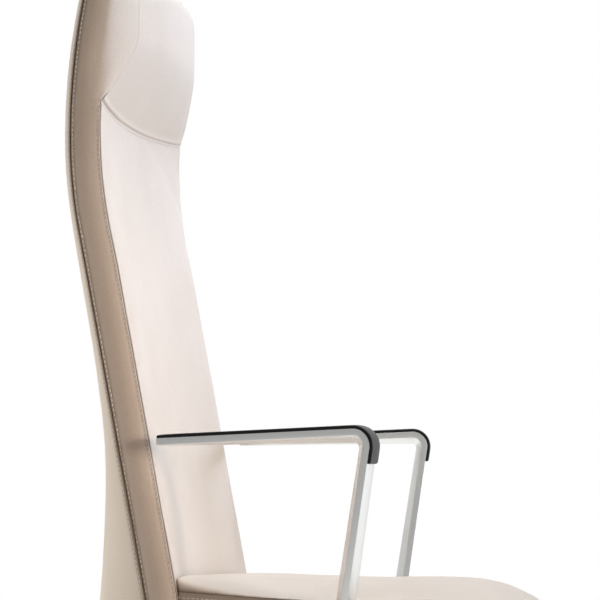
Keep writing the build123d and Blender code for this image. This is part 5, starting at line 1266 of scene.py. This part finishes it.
class CHAIR_OT_spring(bpy.types.Operator):
    """Mould the tilt spring's two rubber blocks, the lower one under the cup and the upper one under the seat
    """
    bl_idname = "chair.spring"
    bl_label = "Tilt spring"

    # In millimetres: the lower block's height, bore and chamfer, waist, rounding, and each block's travel
    LOWER, BORE, CHAMFER, WAIST, ROUND, CUP_TRAVEL, SEAT_TRAVEL = 23.2, 9.0, 0.5, 3.0, 2.0, 8.2, 9.4
    SIDES, STEPS = 64, 12

    def execute(self, context):
        low, high = (np.array(corner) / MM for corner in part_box("tilt_spring"))
        middle, radius, split = (low + high) / 2, (high[0] - low[0]) / 2, low[2] + self.LOWER
        for name, foot, top, joint, travel in (
                ("tilt_spring_lower", low[2], split, "cup_rise", self.CUP_TRAVEL),
                ("tilt_spring_upper", split, high[2], "seat_tilt", self.SEAT_TRAVEL)):
            piece = self.block(name, middle, radius, foot, top)
            place_piece(piece, "chassis", ("tilt_spring",))
            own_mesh(piece)
        return {"FINISHED"}

    def block(self, name, middle, radius, foot, top):
        """A waisted rubber ring with rounded edges."""
        corner = [(1 - math.cos(t), math.sin(t)) for t in np.linspace(0, math.pi / 2, 4)]
        side = [(radius - self.ROUND * a, foot + self.ROUND * (1 - b)) for a, b in corner[::-1]]
        straight = top - foot - 2 * self.ROUND
        side += [(radius - self.WAIST * math.sin(math.pi * t), foot + self.ROUND + straight * t)
                 for t in np.linspace(0, 1, self.STEPS)[1:-1]]
        side += [(radius - self.ROUND * a, top - self.ROUND * (1 - b)) for a, b in corner]
        profile = [(self.BORE, top - self.CHAMFER), (self.BORE, foot + self.CHAMFER),
                   (self.BORE + self.CHAMFER, foot)] + side + [(self.BORE + self.CHAMFER, top)]
        turns = 2 * math.pi * np.arange(self.SIDES) / self.SIDES
        points = [(middle[0] + r * math.cos(a), middle[1] + r * math.sin(a), z)
                  for a in turns for r, z in profile]
        count = len(profile)
        faces = [[k * count + j, (k + 1) % self.SIDES * count + j,
                  (k + 1) % self.SIDES * count + (j + 1) % count, k * count + (j + 1) % count]
                 for k in range(self.SIDES) for j in range(count)]
        return mesh_piece(name, points, faces, finish_of("black_rubber"))


class CHAIR_OT_stage(bpy.types.Operator):
    """Set up the pale floor, soft studio light and the camera"""
    bl_idname = "chair.stage"
    bl_label = "Studio"

    CAMERA_PLACE = (-3.042, -0.417, 0.641)
    CAMERA_TURN, CAMERA_PITCH = math.radians(9.82), math.radians(3.66)
    CAMERA_LENS = 138.5
    FLOOR_RADIUS = 4.5
    # Name, place, aim, width, height, spread in degrees, power and colour of each soft box
    LIGHTS = (
        ("key_softbox", (2.2, -2.4, 1.4), (0.0, 0.25, 1.16), 1.3, 0.8, 32, 4.2, "#D1E3FF"),
        ("top_softbox", (0.4, -0.3, 3.2), (0.0, 0.0, 0.5), 2.4, 2.4, 120, 30.5, "#F8FBFF"),
        ("rear_softbox", (0.2, 2.6, 0.55), (0.0, 0.35, 0.5), 1.8, 1.2, 90, 12.0, "#FFFAF0"),
        ("front_grid", (-1.4, -2.1, 1.0), (-0.22, 0.25, 0.75), 0.5, 0.5, 40, 1.25, "#FFEFDA"),
        ("side_grid", (-2.4, -0.9, 0.9), (-0.22, 0.25, 0.7), 0.5, 0.5, 32, 0.34, "#FFD6C4"),
        ("front_card", (0.25, -3.0, 1.35), (0.0, 0.2, 1.3), 2.6, 1.6, 54, 11.8, "#E4EFFF"),
    )
    # Only these are mirrored in the metal, and the card does nothing else
    MIRRORED, CARD = ("front_card", "top_softbox"), "front_card"

    def execute(self, context):
        scene = context.scene
        work = bmesh.new()
        bmesh.ops.create_circle(work, cap_ends=True, segments=96, radius=self.FLOOR_RADIUS)
        mesh = bpy.data.meshes.new("floor")
        work.to_mesh(mesh)
        work.free()
        mesh.materials.append(finish_of("paper"))
        floor = bpy.data.objects.new("floor", mesh)
        scene.collection.objects.link(floor)
        floor.visible_glossy = floor.visible_diffuse = False
        for name, place, aim, width, height, angle, power, tint in self.LIGHTS:
            lamp = bpy.data.lights.new(name, "AREA")
            lamp.shape, lamp.size, lamp.size_y = "RECTANGLE", width, height
            lamp.energy, lamp.color = power, linear(tint)[:3]
            lamp.spread = math.radians(angle)
            box = bpy.data.objects.new(name, lamp)
            box.visible_glossy, box.visible_diffuse = name in self.MIRRORED, name != self.CARD
            box.location = place
            box.rotation_euler = (Vector(aim) - Vector(place)).to_track_quat("-Z", "Y").to_euler()
            scene.collection.objects.link(box)
        self.surround(scene)
        view = bpy.data.cameras.new("camera")
        view.lens, view.sensor_width = self.CAMERA_LENS, 36.0
        view.clip_start, view.clip_end = 0.05, 60.0
        camera = bpy.data.objects.new("camera", view)
        camera.location = self.CAMERA_PLACE
        level = math.cos(self.CAMERA_PITCH)
        ahead = Vector((math.cos(self.CAMERA_TURN) * level, math.sin(self.CAMERA_TURN) * level,
                        math.sin(self.CAMERA_PITCH)))
        camera.rotation_euler = ahead.to_track_quat("-Z", "Y").to_euler()
        scene.collection.objects.link(camera)
        scene.camera = camera
        scene.view_settings.view_transform = "Standard"
        return {"FINISHED"}

    def surround(self, scene):
        """White backdrop as the camera sees it. Reflections find a greyer room behind the camera, and white
        below and across, and the chair's shaded side gets a dim fill, as if from the floor."""
        world = bpy.data.worlds.new("studio")
        world.use_nodes = True
        world.node_tree.nodes.clear()
        tree = world.node_tree
        seen = add_node(tree, "ShaderNodeBackground", {"Color": linear("#FFFFFF"), "Strength": 1.0})
        ray = add_node(tree, "ShaderNodeSeparateXYZ",
                       {"Vector": add_node(tree, "ShaderNodeTexCoord").outputs["Generated"]})
        across = add_node(tree, "ShaderNodeMapRange", {"Value": ray.outputs["X"], "From Min": 0.15,
                                                       "From Max": 0.7, "To Min": 0.42, "To Max": 1.0})
        below = add_node(tree, "ShaderNodeMapRange", {"Value": ray.outputs["Z"], "From Min": -0.15,
                                                      "From Max": -0.6, "To Min": 0.0, "To Max": 1.0})
        room = add_node(tree, "ShaderNodeMix", {"Factor": below.outputs["Result"],
                                                2: across.outputs["Result"], 3: 1.1}, data_type="FLOAT")
        mirrored = add_node(tree, "ShaderNodeBackground", {"Color": linear("#FFFFFE"),
                                                           "Strength": room.outputs[0]})
        bounce = add_node(tree, "ShaderNodeMapRange", {"Value": ray.outputs["Z"], "From Min": -0.25,
                                                       "From Max": 0.1, "To Min": 0.3, "To Max": 0.03})
        fill = add_node(tree, "ShaderNodeBackground", {"Color": linear("#FFF3E6"),
                                                       "Strength": bounce.outputs["Result"]})
        path = add_node(tree, "ShaderNodeLightPath")
        lit = add_node(tree, "ShaderNodeMixShader", {0: path.outputs["Is Glossy Ray"], 1: fill.outputs[0],
                                                     2: mirrored.outputs[0]})
        both = add_node(tree, "ShaderNodeMixShader", {0: path.outputs["Is Camera Ray"], 1: lit.outputs[0],
                                                      2: seen.outputs[0]})
        add_node(tree, "ShaderNodeOutputWorld", {"Surface": both.outputs[0]})
        scene.world = world


class CHAIR_PT_tools(bpy.types.Panel):
    """Lists the chair's pieces, sizes and colours"""
    bl_idname = "CHAIR_PT_tools"
    bl_label = "Swivel office chair"
    bl_space_type = "VIEW_3D"
    bl_region_type = "UI"
    bl_category = "Chair"

    def draw(self, context):
        for operator in OPERATORS:
            self.layout.operator(operator.bl_idname)
        for group in (context.scene.chair_sizes, context.scene.chair_colours):
            for key in group.bl_rna.properties.keys():
                if key not in ("rna_type", "name"):
                    self.layout.prop(group, key)


OPERATORS = (CHAIR_OT_hardware, CHAIR_OT_spring, CHAIR_OT_back, CHAIR_OT_shell, CHAIR_OT_seat, CHAIR_OT_arms,
             CHAIR_OT_stage)
CLASSES = (ChairSizes, ChairColours) + OPERATORS + (CHAIR_PT_tools,)


def register():
    for item in CLASSES:
        bpy.utils.register_class(item)
    bpy.types.Scene.chair_sizes = bpy.props.PointerProperty(type=ChairSizes)
    bpy.types.Scene.chair_colours = bpy.props.PointerProperty(type=ChairColours)


def unregister():
    del bpy.types.Scene.chair_colours
    del bpy.types.Scene.chair_sizes
    for item in reversed(CLASSES):
        bpy.utils.unregister_class(item)


def main():
    register()
    bpy.ops.chair.hardware()
    bpy.ops.chair.spring()
    bpy.ops.chair.back()
    bpy.ops.chair.shell()
    bpy.ops.chair.seat()
    bpy.ops.chair.arms()
    bpy.ops.chair.stage()


if __name__ == "__main__":
    main()
